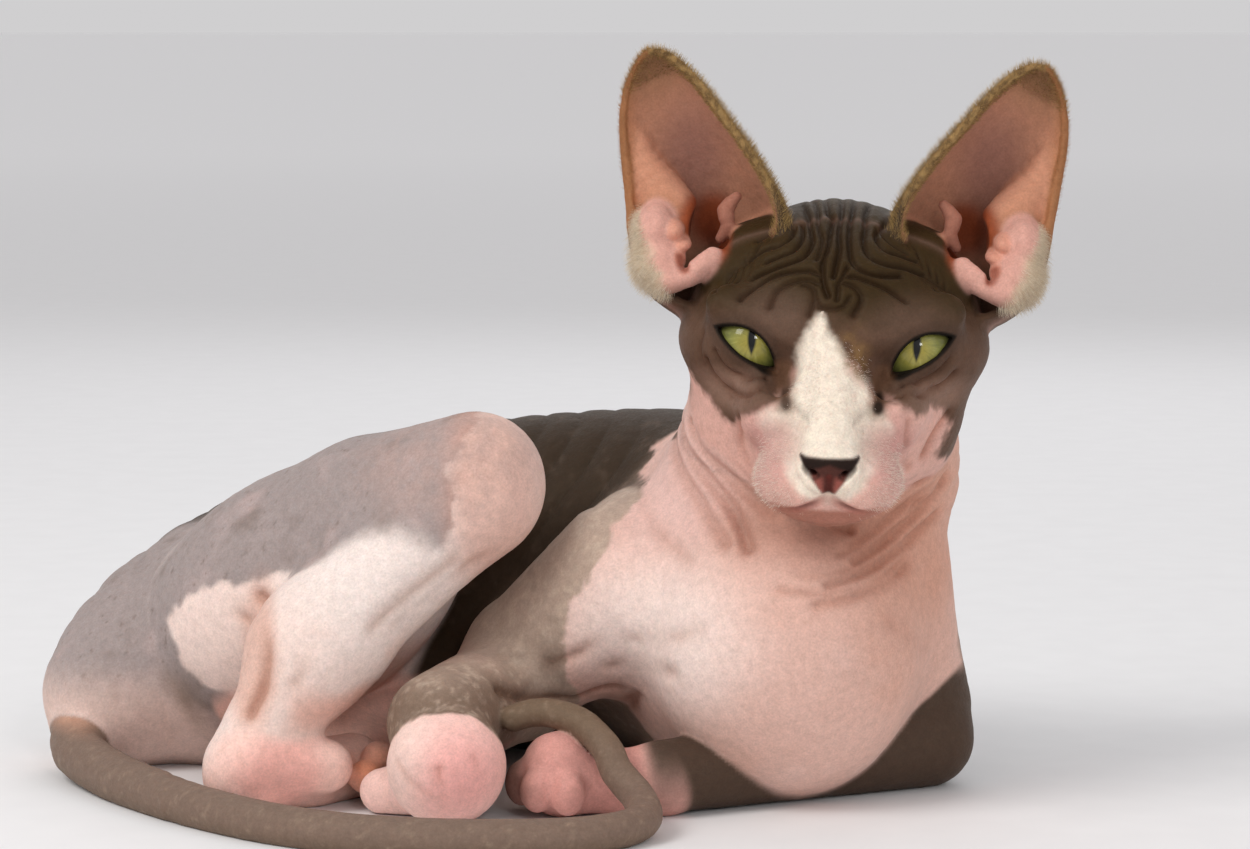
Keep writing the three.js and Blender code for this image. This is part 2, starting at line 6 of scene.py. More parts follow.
import bpy
import numpy as np
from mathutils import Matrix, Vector


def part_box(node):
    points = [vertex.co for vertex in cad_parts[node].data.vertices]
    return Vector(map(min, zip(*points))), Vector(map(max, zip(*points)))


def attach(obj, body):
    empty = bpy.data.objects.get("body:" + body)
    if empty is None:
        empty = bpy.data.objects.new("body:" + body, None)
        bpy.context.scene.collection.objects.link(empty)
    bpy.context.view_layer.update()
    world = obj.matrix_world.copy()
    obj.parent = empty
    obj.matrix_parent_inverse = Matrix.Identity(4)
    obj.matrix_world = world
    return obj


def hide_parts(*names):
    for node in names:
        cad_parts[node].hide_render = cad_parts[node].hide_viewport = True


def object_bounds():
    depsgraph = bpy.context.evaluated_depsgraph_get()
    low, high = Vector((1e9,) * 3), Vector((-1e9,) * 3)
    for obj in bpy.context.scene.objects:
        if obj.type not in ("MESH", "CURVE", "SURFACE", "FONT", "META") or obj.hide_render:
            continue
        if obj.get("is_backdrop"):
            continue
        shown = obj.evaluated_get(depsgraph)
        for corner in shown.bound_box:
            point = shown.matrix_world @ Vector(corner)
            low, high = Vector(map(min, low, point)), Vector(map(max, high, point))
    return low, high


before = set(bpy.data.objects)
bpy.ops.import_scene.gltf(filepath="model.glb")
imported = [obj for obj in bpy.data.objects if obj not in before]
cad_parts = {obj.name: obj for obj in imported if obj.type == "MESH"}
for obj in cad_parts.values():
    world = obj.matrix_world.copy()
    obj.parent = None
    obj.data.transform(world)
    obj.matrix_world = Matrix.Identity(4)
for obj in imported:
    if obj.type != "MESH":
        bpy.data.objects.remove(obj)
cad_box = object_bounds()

MM = 0.001

# Driving sizes, the same as the solids'
HEAD_PLACE = np.array([54.3, 0, 123.0])
HEAD_TURN = (8, 2.2, -3)
EYE_SPACING = 43
EYE_RADIUS = 10.6
EYE_DEPTH = 3.4
LID_THICKNESS = 1.3
LID_CHORD = 18.0
LID_SLANT = 32
LID_RISE = 1.25
LID_SAG = 4.6
LID_FRONT = 3.0
EAR_THICKNESS = 2.2
EAR_DEPTH_RATIO = 0.8
TAIL_ROOT_RADIUS = 8
TAIL_TIP_RADIUS = 3.6
TAIL_TAPER = 0.55

# The distance given to points that are nowhere near a form
FAR = 40.0

# The camera of the photograph
CAMERA_PLACE = (0, -996.5, 208.3)
CAMERA_DOWN = 6
PHOTO_WIDTH = 1250
FOCAL_PIXELS = 3846
SENSOR = 36

# How finely the skin is cut, in millimetres, and the boxes cut in the frame of the design
HEAD_CELL = 0.45
BODY_CELL = 0.9
HEAD_BOX = ((-12, -44, 74), (120, 82, 204))
BODY_BOX = ((-176, -66, -2 * BODY_CELL), (122, 154, 132))


# Turns, vectors and smooth steps
def turned(ax, ay, az):
    """The matrix of a turn about X, then Y, then Z, in degrees."""
    a, b, c = (math.radians(v) for v in (ax, ay, az))
    about_x = np.array([[1, 0, 0], [0, math.cos(a), -math.sin(a)], [0, math.sin(a), math.cos(a)]])
    about_y = np.array([[math.cos(b), 0, math.sin(b)], [0, 1, 0], [-math.sin(b), 0, math.cos(b)]])
    about_z = np.array([[math.cos(c), -math.sin(c), 0], [math.sin(c), math.cos(c), 0], [0, 0, 1]])
    return about_z @ about_y @ about_x


def unit(v):
    v = np.asarray(v, float)
    return v / np.linalg.norm(v)


def ramp(low, high, v):
    """0 below low, 1 above high, smooth between them; high may be the smaller."""
    t = np.clip((v - low) / (high - low), 0, 1)
    return t * t * (3 - 2 * t)


def smoothed(stations, steps):
    """A smooth line through stations of any width."""
    s = np.asarray(stations, float)
    last = len(s) - 1
    made = []
    for i in range(last):
        a, b, c, d = (s[min(last, max(0, k))] for k in (i - 1, i, i + 1, i + 2))
        for t in np.arange(steps) / steps:
            bend = 2 * a - 5 * b + 4 * c - d
            twist = 3 * b - a - 3 * c + d
            made.append(b + 0.5 * t * (c - a + t * (bend + t * twist)))
    made.append(s[last])
    return np.array(made)


# Signed distances: each form is a function of points held as an array of three rows
def egg(centre, radii, turn=(0, 0, 0)):
    c = np.array(centre, float)[:, None]
    r = np.array(radii, float)[:, None]
    m = turned(*turn).T

    def form(p):
        q = (m @ (p - c) if any(turn) else p - c) / r
        near = np.sqrt((q * q).sum(0))
        steep = np.sqrt(((q / r) ** 2).sum(0)) + 1e-9
        return near * (near - 1) / steep

    return form


def bone(a, ra, b, rb):
    a = np.array(a, float)[:, None]
    way = np.array(b, float)[:, None] - a
    length2 = float((way * way).sum())

    def form(p):
        q = p - a
        t = np.clip((q * way).sum(0) / length2, 0, 1)
        return np.sqrt(((q - t * way) ** 2).sum(0)) - (ra + (rb - ra) * t)

    return form


def trunk(stations, steps=4):
    """A body along stations x, y, z, half width, half height, its height kept upright."""
    line = smoothed(stations, steps)
    pieces = []
    for a, b in zip(line, line[1:]):
        way = b[:3] - a[:3]
        along = unit(way)
        side = unit(np.cross(along, (0, 0, 1)))
        pieces.append((a, b, way, np.array([side, np.cross(side, along), along])))

    def form(p):
        best = np.full(p.shape[1], 1e3)
        for a, b, way, axes in pieces:
            q = p - a[:3, None]
            t = np.clip((q * way[:, None]).sum(0) / (way @ way), 0, 1)
            wide = a[3] + (b[3] - a[3]) * t
            high = a[4] + (b[4] - a[4]) * t
            r = np.stack([wide, high, np.minimum(wide, high)])
            v = (axes @ (q - t * way[:, None])) / r
            near = np.sqrt((v * v).sum(0))
            steep = np.sqrt(((v / r) ** 2).sum(0)) + 1e-9
            best = np.minimum(best, near * (near - 1) / steep)
        return best

    return form


def smin(a, b, k):
    h = np.maximum(k - np.abs(a - b), 0) / k
    return np.minimum(a, b) - h * h * k / 4


def blend(k, *forms):
    def form(p):
        d = forms[0](p)
        for f in forms[1:]:
            d = smin(d, f(p), k)
        return d

    return form


def carve(k, solid, *cuts):
    def form(p):
        d = solid(p)
        for f in cuts:
            d = -smin(-d, f(p), k)
        return d

    return form


def both(make):
    return [make(1), make(-1)]


def chain(points, radii, steps=2):
    """A smooth cord through points, its radius going with them."""
    line = smoothed([(*p, r) for p, r in zip(points, radii)], steps)
    bones = [bone(a[:3], a[3], b[:3], b[3]) for a, b in zip(line, line[1:])]
    return lambda p: np.minimum.reduce([f(p) for f in bones])


def near(form, low, high, margin=6.0):
    """The form, worked out only close to a box, and far away elsewhere."""
    low = np.array(low, float)[:, None] - margin
    high = np.array(high, float)[:, None] + margin

    def limited(p):
        d = np.full(p.shape[1], margin)
        inside = ((p > low) & (p < high)).all(0)
        if inside.any():
            d[inside] = np.minimum(form(p[:, inside]), margin)
        return d

    return limited


# The head, in its own frame: the origin midway between the eyes, -Y towards the nose
HEAD_AXES = turned(*HEAD_TURN)
LID_RADIUS = EYE_RADIUS + LID_THICKNESS


def to_head(p):
    return HEAD_AXES.T @ (p - HEAD_PLACE[:, None])


def from_head(q):
    return HEAD_AXES @ q + HEAD_PLACE[:, None]


def eye_place(s):
    return (s * EYE_SPACING / 2, EYE_DEPTH, 0)


def lid_frame(s):
    """The way the lids open, the chord from the inner to the outer corner, and the way across it."""
    ahead = unit((s * 0.16, -1, 0.06))
    slant = math.radians(LID_SLANT)
    tilt = np.array([s * math.cos(slant), 0, math.sin(slant)])
    along = unit(tilt - ahead * (ahead @ tilt))
    across = -s * np.cross(ahead, along)
    return ahead, along, across


def lid_edges(s, q):
    """Depth along the lids' opening, and how far past the upper and the lower lid a point is."""
    ahead, along, across = lid_frame(s)
    rel = q - np.array(eye_place(s))[:, None]
    depth = ahead @ rel
    wide = np.interp(depth, (3, 7, 15), (0.8, 1.0, 1.3))
    half = LID_CHORD / 2 * wide
    u = np.clip((along @ rel) / half, -1.4, 1.4)
    v = across @ rel
    above = v - LID_RISE * wide * (1 - u * u)
    below = -v - LID_SAG * wide * (1 - u * u)
    steep_up = np.sqrt(1 + (2 * LID_RISE * u / half) ** 2)
    steep_down = np.sqrt(1 + (2 * LID_SAG * u / half) ** 2)
    return depth, above / steep_up, below / steep_down


def lid_opening(s):
    def form(q):
        depth, above, below = lid_edges(s, q)
        return np.maximum(np.maximum(above, below), LID_FRONT - depth)

    return form


skull = blend(
    9,
    egg((0, 31, 5), (32, 37, 28.5)),
    egg((0, 12, 9), (26, 21, 15)),
    *both(lambda s: egg((s * 26, 17, -2), (15, 20, 12))),
    *both(lambda s: egg((s * 20, 17, -17), (15, 19, 14))),
    *both(lambda s: egg((s * 24, 27, 8), (13, 16, 18))),
)
muzzle = blend(
    6,
    bone((0, 2, 3), 11, (0, -24, -17), 7.5),
    *both(lambda s: egg((s * 12, -6, -14), (13, 15, 12))),
    *both(lambda s: egg((s * 8, -21.5, -29), (11, 13, 9))),
    egg((0, -18, -34.5), (10.5, 11.5, 7)),
    *both(lambda s: bone((s * 7, -8, -31), 8.5, (s * 18, 14, -25), 12)),
)
nose_tip = egg((0, -31.5, -22.5), (8, 5.5, 6), (-20, 0, 0))
brows = both(lambda s: bone((s * 11, -7, 6), 3.5, (s * 29, 1, 11), 4.5))
tear_hollows = both(lambda s: egg((s * 13.5, -13, -4), (3.5, 5, 6), (0, 0, s * 20)))
lids = both(lambda s: egg(eye_place(s), (LID_RADIUS,) * 3))
plain_head = blend(3, carve(5, blend(7, blend(8, skull, muzzle), *brows), *tear_hollows), nose_tip, *lids)

# The mouth from its middle to the corner, the nostril, and the groove between them
MOUTH = [(0, -34.8, -31), (3, -34.2, -32.4), (6.5, -33, -33.7), (10, -31, -35.0), (13, -28, -35.4)]
NOSTRIL = [(6.6, -35.0, -22.3), (5.4, -36.2, -23.5), (3.6, -36.9, -24.5)]
mouth_line = both(lambda s: chain([(s * x, y, z) for x, y, z in MOUTH], (0.8, 0.7, 0.6, 0.45, 0.2), 3))
nostrils = both(lambda s: chain([(s * x, y, z) for x, y, z in NOSTRIL], (0.45, 0.9, 1.25)))
nostril_depths = both(lambda s: bone((s * 4.2, -36.4, -24.1), 1.1, (s * 3.4, -32.5, -23), 0.9))
philtrum = bone((0, -37.1, -24.6), 0.4, (0, -35, -31), 0.5)
nose_wings = both(
    lambda s: chain([(s * 6.6, -34.2, -23.8), (s * 4.6, -34.9, -26.4), (s * 1.9, -34.9, -28.2)],
        (1.2, 1.5, 1.3))
)
nose_ridge = bone((-5.2, -34.2, -20.8), 1.0, (5.2, -34.2, -20.8), 1.0)
upper_lips = both(lambda s: egg((s * 5.5, -27.5, -30.6), (6.5, 7.2, 4.2), (0, 0, s * 12)))


def face_form(q):
    """The head with its lids, nose and mouth, in its own frame."""
    d = plain_head(q)
    front = q[1] < 6
    f = q[:, front]
    e = d[front]
    e = smin(e, blend(1, nose_ridge, *nose_wings)(f), 1.6)
    e = smin(e, blend(1.5, *upper_lips)(f), 2.5)
    for cut, k in [*((m, 1.3) for m in mouth_line), *((n, 0.7) for n in nostrils), (philtrum, 0.8)]:
        e = -smin(-e, cut(f), k)
    for cut in nostril_depths:
        e = -smin(-e, cut(f), 0.5)
    for opening in both(lid_opening):
        e = -smin(-e, opening(f), 0.9)
    d[front] = e
    return d


# Ears: a curved shell hollow towards the front, with a fleshy lower rim, ridges and a canal
EAR_FOOT = np.array([28.5, 25, 21])
EAR_TIP = np.array([52, 31, 70.7])
EAR_TURN_OUT = math.radians(12)
# height along the ear, half width, offset outwards, reach of the inner and outer edges in degrees
EAR_STATIONS = smoothed(
    [
        (-12, 18, 2, 140, 150),
        (-3, 21.6, 3.7, 116, 132),
        (8, 21.6, 3.6, 92, 116),
        (22, 18.7, 3, 85, 94),
        (36, 15, 2.9, 80, 82),
        (43, 12.8, 2.5, 75, 77),
        (49, 9.9, 1.9, 68, 70),
        (53, 6.9, 1.1, 62, 62),
        (55.1, 3.9, 0.5, 55, 55),
        (56, 1.2, 0.1, 50, 50),
    ],
    4,
)
EAR_UP = unit(EAR_TIP - EAR_FOOT)
ear_to_front = np.array([math.sin(EAR_TURN_OUT), -math.cos(EAR_TURN_OUT), 0])
EAR_SIDE = unit(np.cross(EAR_UP, ear_to_front))
EAR_FRONT = np.cross(EAR_SIDE, EAR_UP)


def ear_place(q):
    """Height along the ear, turn round its cup and distance from its axis, on the outer side's copy."""
    folded = np.stack([np.abs(q[0]), q[1], q[2]])
    rel = folded - EAR_FOOT[:, None]
    height = EAR_UP @ rel
    h = np.clip(height, EAR_STATIONS[0, 0], EAR_STATIONS[-1, 0])
    half, shift, inner, outer = (np.interp(h, EAR_STATIONS[:, 0], EAR_STATIONS[:, k]) for k in (1, 2, 3, 4))
    x = EAR_SIDE @ rel - shift
    y = -(EAR_FRONT @ rel) / EAR_DEPTH_RATIO
    return height, h, np.arctan2(x, y), np.hypot(x, y), half, np.radians(inner), np.radians(outer)


def ear_shell(q):
    height, h, turn, reach, half, inner, outer = ear_place(q)
    grade = np.interp(h, EAR_STATIONS[:, 0], np.gradient(EAR_STATIONS[:, 1], EAR_STATIONS[:, 0]))
    thick = EAR_THICKNESS * np.minimum(1, 0.45 + half / 30)
    squash = np.sqrt(np.sin(turn) ** 2 + (EAR_DEPTH_RATIO * np.cos(turn)) ** 2)
    off = (reach - (half - thick / 2)) * squash / np.sqrt(1 + grade**2)
    over = np.maximum(np.maximum(turn - outer, -inner - turn), 0) * half
    past = height - h
    return np.sqrt(off**2 + over**2 + past**2) - thick / 2


ear_rim = blend(
    3.0,
    egg((48.6, 25, 25.5), (5.2, 10.5, 6.8), (0, -8, 0)),
    egg((47, 20.5, 17.5), (6.6, 10, 6.8)),
    chain([(44.5, 12.5, 13.5), (39, 12.5, 15.5), (35, 14.5, 18.5), (33.2, 16, 20.6)], (3.4, 3.0, 2.8, 2.0)),
)
ear_lumps = blend(
    1.0,
    egg((43.4, 20, 26), (2.6, 4.5, 2.6)),
    egg((41.2, 20, 22.4), (2.6, 4.5, 1.9)),
    egg((42, 16.5, 19.2), (2, 3.5, 2)),
)
ear_fold = chain(
    [(54, 37.5, 47), (52, 37, 40), (48.5, 36, 34), (44, 33.5, 29), (40, 28, 25)], (1.2, 4.2, 6.2, 6.4, 4.6)
)
ear_knob = chain([(27.5, 29, 34), (30.2, 27.5, 30.4), (29.4, 26.5, 27), (31.2, 27, 23)],
    (1.4, 2.3, 1.8, 1.4))
ear_canal = egg((34, 28, 25), (5.8, 13.5, 7.6))
ear_pit = egg((40.6, 12, 19), (1.0, 4.0, 2.4), (0, 28, 0))


def ear_form(q, flesh):
    """Joins the ears to the flesh's distance."""
    d = flesh.copy()
    high = q[2] > 2
    f = q[:, high]
    f = np.stack([np.abs(f[0]), f[1], f[2]])
    e = smin(d[high], ear_shell(f), 2.4)
    e = smin(e, ear_fold(f), 4.0)
    e = -smin(-e, ear_canal(f), 2.0)
    e = smin(e, ear_rim(f), 4.2)
    e = smin(e, blend(1.0, ear_knob, ear_lumps)(f), 2.0)
    e = -smin(-e, ear_pit(f), 1.5)
    d[high] = e
    return d


def head_form(p):
    q = to_head(p)
    d = np.full(p.shape[1], FAR)
    close = ((np.abs(q[0]) < 75) & (q[1] > -60) & (q[1] < 90) & (q[2] > -60)).nonzero()[0]
    if len(close):
        d[close] = ear_form(q[:, close], face_form(q[:, close]))
    return d


# The neck and trunk
neck_form = trunk([(46.5, 46, 66, 44, 34), (51.5, 40, 88, 40.5, 34), (53.5, 33, 106, 33.5, 30),
    (55, 30, 122, 28, 26)])
body_form = trunk(
    [
        (43, 22, 42, 36, 42),
        (40, 46, 48, 44, 50),
        (24, 76, 49, 45, 50),
        (-8, 98, 48, 43, 49),
        (-50, 104, 45, 40, 46),
        (-92, 98, 38, 38, 40),
        (-126, 84, 29, 31, 30),
        (-143, 70, 20, 20, 21),
    ]
)
chest_form = egg((42, 16, 46), (29, 24, 33))
trunk_form = blend(10, body_form, blend(10, neck_form, chest_form))


# Hind legs: the right one raised at the knee, the left one folded under the body
def toes(places, radii):
    return [egg(p, radii) for p in places]


thigh_right = blend(12, egg((-90, 60, 50), (53, 32, 33), (0, -31, -26)),
    bone((-66, 42, 74), 22, (-40, 25, 86), 18))
shank_right = blend(8, bone((-42, 23, 81), 16, (-84, 14, 42), 16),
    bone((-80, 14, 44), 16, (-101, 3, 14), 9.5))
foot_right = blend(
    4,
    bone((-101, 1, 9), 9.5, (-84, 16, 9), 8.5),
    bone((-84, 16, 8), 9, (-74, 27, 8), 9),
    bone((-98, -1, 15), 9, (-79, 6, 12), 7),
)
toes_right = toes([(-66, 17, 12), (-69, 12, 8), (-66, 27, 9), (-70, 34, 6)], (4.6,) * 3)
thigh_left = bone((-112, 84, 25), 28, (-52, 84, 20), 19)
shank_left = bone((-50, 72, 13), 13, (-98, 46, 10), 10)
foot_left = bone((-98, 44, 8), 9, (-66, 52, 8), 8.5)
toes_left = toes([(-58, 46, 5), (-55, 51, 5.5), (-56, 57, 5.5)], (6, 4, 5.2))

# Forelegs: the right one's wrist folded under, the left one's forearm across the front of the chest
upper_arm_right = blend(8, bone((2, 36, 56), 24, (-24, 44, 36), 18), egg((-30, 50, 30), (14, 16, 16)))
forearm_right = bone((-30, 46, 27), 15, (-49, 3, 24), 13.8)
paw_right = egg((-46.5, -9, 15), (15.6, 15, 15.6))
dew_right = bone((-52, 0, 8), 8, (-64, 3, 6), 6)
upper_arm_left = bone((68, 42, 54), 20, (80, 50, 22), 15)
forearm_left = bone((82, 42, 13), 13.5, (10, 2, 10), 9.5)
paw_left = blend(4, bone((10, 2, 9), 9, (-14, 1, 9), 8.4), egg((-18, -1, 11.5), (9.5, 9.5, 11)))
toes_forward = toes([(-23, -8, 8.5), (-15, -10, 8), (-27, -1, 9), (-25, 6, 8)], (4.6, 4.6, 6))

# The tail, along the floor past the right foot and paw, its end laid over the left paw
TAIL_LINE = [
    (-144, 74, 16), (-152, 54, 9), (-141, 30, 6), (-125, 6, 5), (-106, -17, 4.4), (-84, -36, 4.2),
    (-58, -47, 4.2), (-30, -49, 4.2), (-8, -44, 4.3), (4, -32, 5), (4, -20, 8), (-2, -12, 14),
    (-5, -7.5, 19.5), (-12, 0, 25), (-22, 4.5, 26.8), (-31, 6, 24.5),
]
tail_line = smoothed(TAIL_LINE, 4)
tail_share = np.linspace(0, 1, len(tail_line)) ** TAIL_TAPER
tail_radii = TAIL_ROOT_RADIUS + (TAIL_TIP_RADIUS - TAIL_ROOT_RADIUS) * tail_share
tail_radii[-1] *= 0.6
tail_bones = [
    bone(a, ra, b, rb) for a, ra, b, rb in zip(tail_line, tail_radii, tail_line[1:], tail_radii[1:])
]


def tail_form(p):
    return np.minimum.reduce([f(p) for f in tail_bones])


LEG_FORMS = {
    "thigh_right": thigh_right,
    "thigh_left": thigh_left,
    "upper_arm_right": upper_arm_right,
    "upper_arm_left": upper_arm_left,
    "shank_right": shank_right,
    "foot_right": blend(2, foot_right, *toes_right),
    "shank_left": shank_left,
    "foot_left": blend(1.5, foot_left, *toes_left),
    "forearm_right": forearm_right,
    "paw_right": blend(3.5, paw_right, dew_right),
    "forearm_left": forearm_left,
    "paw_left": blend(1.8, paw_left, *toes_forward),
}


COARSE_STEP = 6.0
COARSE = np.stack(
    np.meshgrid(
        np.arange(-180, 125, COARSE_STEP), np.arange(-70, 155, COARSE_STEP), np.arange(0, 210,
            COARSE_STEP), indexing="ij"
    )
).reshape(3, -1)


def close_by(form):
    """The form, worked out only around where it has flesh."""
    flesh = COARSE[:, form(COARSE) < COARSE_STEP]
    return near(form, flesh.min(1), flesh.max(1), 20.0)


PART_FORMS = {
    name: close_by(form) for name, form in {**LEG_FORMS, "trunk": trunk_form, "head": head_form,
        "tail": tail_form}.items()
}


def part_distances(p):
    """The distance of every part of the body, by name."""
    return {name: form(p) for name, form in PART_FORMS.items()}


def cat_form(p):
    d = part_distances(p)
    whole = smin(d["trunk"], d["head"], 10)
    for name, k in (("thigh_right", 8), ("thigh_left", 9), ("upper_arm_right", 11), ("upper_arm_left", 10)):
        whole = smin(whole, d[name], k)
    whole = smin(whole, smin(d["trunk"], np.where(p[0] < -120, d["tail"], 99), 7), 1)
    hind = smin(smin(d["thigh_right"], d["shank_right"], 10), d["foot_right"], 5)
    hind_left = smin(smin(d["thigh_left"], d["shank_left"], 5), d["foot_left"], 3)
    fore = smin(smin(d["upper_arm_right"], d["forearm_right"], 7), d["paw_right"], 4)
    fore_left = smin(smin(d["upper_arm_left"], d["forearm_left"], 5), d["paw_left"], 3)
    for limb in (hind, hind_left, fore, fore_left, d["tail"]):
        whole = smin(whole, limb, 1)
    return np.maximum(whole, -p[2])


# Turning a form into a net of quads
def sampled(form, low, high, cell, coarse=4):
    """The form on a fine grid, exact near the surface and smoothed out from a coarse grid elsewhere."""
    count = [int(math.ceil((b - a) / (cell * coarse))) + 1 for a, b in zip(low, high)]
    axes = [a + np.arange(n) * cell * coarse for a, n in zip(low, count)]
    grid = np.stack(np.meshgrid(*axes, indexing="ij")).reshape(3, -1)
    rough = in_lots(form, grid).reshape(count).astype(np.float32)
    fine = rough
    for axis in range(3):
        first = np.moveaxis(fine, axis, 0)
        share = (np.arange(coarse) / coarse).astype(np.float32)[None, :, None, None]
        steps = first[:-1, None] * (1 - share) + first[1:, None] * share
        joined = np.concatenate([steps.reshape(-1, *first.shape[1:]), first[-1:]])
        fine = np.moveaxis(joined, 0, axis)
    fine = np.ascontiguousarray(fine)
    close = np.abs(rough) < 1.15 * cell * coarse
    near_cells = np.zeros([n - 1 for n in count], bool)
    for i in (0, 1):
        for j in (0, 1):
            for k in (0, 1):
                near_cells |= close[i : count[0] - 1 + i, j : count[1] - 1 + j, k : count[2] - 1 + k]
    for axis in range(3):
        near_cells = np.repeat(near_cells, coarse, axis)
    i, j, k = near_cells.nonzero()
    points = np.stack([low[0] + i * cell, low[1] + j * cell, low[2] + k * cell])
    fine[i, j, k] = in_lots(form, points)
    return fine


def in_lots(form, points, lot=60000):
    """Runs a form over many points a lot at a time."""
    return np.concatenate([form(points[:, i : i + lot]) for i in range(0, points.shape[1], lot)])


def net(form, low, high, cell, keep):
    """A surface net: one point in each cell that the surface crosses, and a quad across each crossed edge."""
    v = sampled(form, low, high, cell)
    inside = v < 0
    n = v.shape
    corners = [(i, j, k) for i in (0, 1) for j in (0, 1) for k in (0, 1)]

    def cut(a, c):
        return a[c[0] : n[0] - 1 + c[0], c[1] : n[1] - 1 + c[1], c[2] : n[2] - 1 + c[2]]

    some = np.zeros([m - 1 for m in n], bool)
    every = np.ones([m - 1 for m in n], bool)
    for c in corners:
        some |= cut(inside, c)
        every &= cut(inside, c)
    i, j, k = (some & ~every).nonzero()
    total = np.zeros((3, len(i)))
    hits = np.zeros(len(i))
    for c in corners:
        for axis in range(3):
            if c[axis]:
                continue
            e = tuple(c[m] + (m == axis) for m in range(3))
            va = v[i + c[0], j + c[1], k + c[2]]
            vb = v[i + e[0], j + e[1], k + e[2]]
            crossed = (va < 0) != (vb < 0)
            t = np.where(crossed, va / np.where(crossed, va - vb, 1), 0)
            for m in range(3):
                total[m] += crossed * (c[m] + (t if m == axis else 0))
            hits += crossed
    points = np.array(low)[:, None] + (np.stack([i, j, k]) + total / hits) * cell
    number = np.full([m - 1 for m in n], -1, np.int32)
    number[i, j, k] = np.arange(len(i))
    quads = []
    for axis in range(3):
        b, c = (axis + 1) % 3, (axis + 2) % 3
        low_side = [slice(1, m - 1) for m in n]
        low_side[axis] = slice(0, n[axis] - 1)
        high_side = list(low_side)
        high_side[axis] = slice(1, n[axis])
        here = inside[tuple(low_side)]
        there = inside[tuple(high_side)]
        for outward in (True, False):
            at = np.array((here & ~there if outward else there & ~here).nonzero())
            for m in range(3):
                at[m] += low_side[m].start
            ring = []
            for s, t in ((0, 0), (1, 0), (1, 1), (0, 1)) if outward else ((0, 0), (0, 1), (1, 1), (1, 0)):
                cell_at = at.copy()
                cell_at[b] -= s
                cell_at[c] -= t
                ring.append(number[tuple(cell_at)])
            quads.append(np.stack(ring, 1))
    quads = np.concatenate(quads)
    middles = points[:, quads].mean(2)
    quads = quads[keep(middles)]
    used, new = np.unique(quads, return_inverse=True)
    return points[:, used], new.reshape(-1, 4)


def evened(points, quads, form, cell, rounds=2):
    """Evens the net out along the surface and puts its points back onto the form."""
    n = points.shape[1]
    a = quads.ravel()
    b = np.roll(quads, -1, 1).ravel()
    ends = np.bincount(a, minlength=n) + np.bincount(b, minlength=n)
    open_points = edge_points(quads, n)
    for _ in range(rounds):
        total = [np.bincount(a, points[m][b], n) + np.bincount(b, points[m][a], n) for m in range(3)]
        moved = (points + np.stack(total) / ends) / 2
        points = np.where(open_points, points, moved)
        d, g = measured(form, points, cell * 0.3)
        points = points - g * np.clip(d, -cell, cell) / np.maximum((g * g).sum(0), 0.25)
    return points, g


def edge_points(quads, n):
    """Which points lie on the net's open edge."""
    a = quads.ravel().astype(np.int64)
    b = np.roll(quads, -1, 1).ravel().astype(np.int64)
    keys, times = np.unique(np.minimum(a, b) * n + np.maximum(a, b), return_counts=True)
    single = keys[times == 1]
    found = np.zeros(n, bool)
    found[single // n] = True
    found[single % n] = True
    return found


def measured(form, points, step):
    """The form and its slope at each point, from four places round it."""
    d = np.zeros(points.shape[1])
    g = np.zeros(points.shape)
    for way in ((1, -1, -1), (-1, -1, 1), (-1, 1, -1), (1, 1, 1)):
        offset = np.array(way, float)[:, None]
        v = in_lots(form, points + offset * step)
        d += v / 4
        g += offset * v / (4 * step)
    return d, g


# Noise that is the same each run
def value_noise(p, size, seed=0):
    """Smooth noise from 0 to 1, its lumps about size millimetres."""
    q = np.asarray(p) / size
    base = np.floor(q).astype(np.int64)
    f = q - base
    f = f * f * (3 - 2 * f)
    total = np.zeros(q.shape[1])
    for i in (0, 1):
        for j in (0, 1):
            for k in (0, 1):
                cell = base + np.array([[i], [j], [k]])
                mixed = cell[0] * 73856093 ^ cell[1] * 19349663 ^ cell[2] * 83492791 ^ (seed * 2654435761)
                mixed = (mixed ^ (mixed >> 13)) * 1274126177 & 0x7FFFFFFF
                mixed = (mixed ^ (mixed >> 16)) & 0xFFFF
                w = (f[0] if i else 1 - f[0]) * (f[1] if j else 1 - f[1]) * (f[2] if k else 1 - f[2])
                total += w * (mixed / 65535)
    return total


def cloudy(p, size, seed=0, octaves=3):
    """Noise of several sizes, from -1 to 1."""
    total = np.zeros(p.shape[1])
    weight = 0
    for n in range(octaves):
        total += (value_noise(p, size / 2**n, seed + n) * 2 - 1) / 1.6**n
        weight += 1 / 1.6**n
    return total / weight


def off_line(p, points, reach):
    """How far each point is from a smooth line, up to reach."""
    line = smoothed(points, 4)
    low = line.min(0)[:, None] - reach
    high = line.max(0)[:, None] + reach
    d = np.full(p.shape[1], float(reach))
    inside = ((p > low) & (p < high)).all(0).nonzero()[0]
    if not len(inside):
        return d
    q = p[:, inside]
    best = np.full(len(inside), float(reach))
    for a, b in zip(line, line[1:]):
        way = (b - a)[:, None]
        rel = q - a[:, None]
        t = np.clip((rel * way).sum(0) / max(float((way * way).sum()), 1e-9), 0, 1)
        best = np.minimum(best, np.sqrt(((rel - t * way) ** 2).sum(0)))
    d[inside] = best
    return d


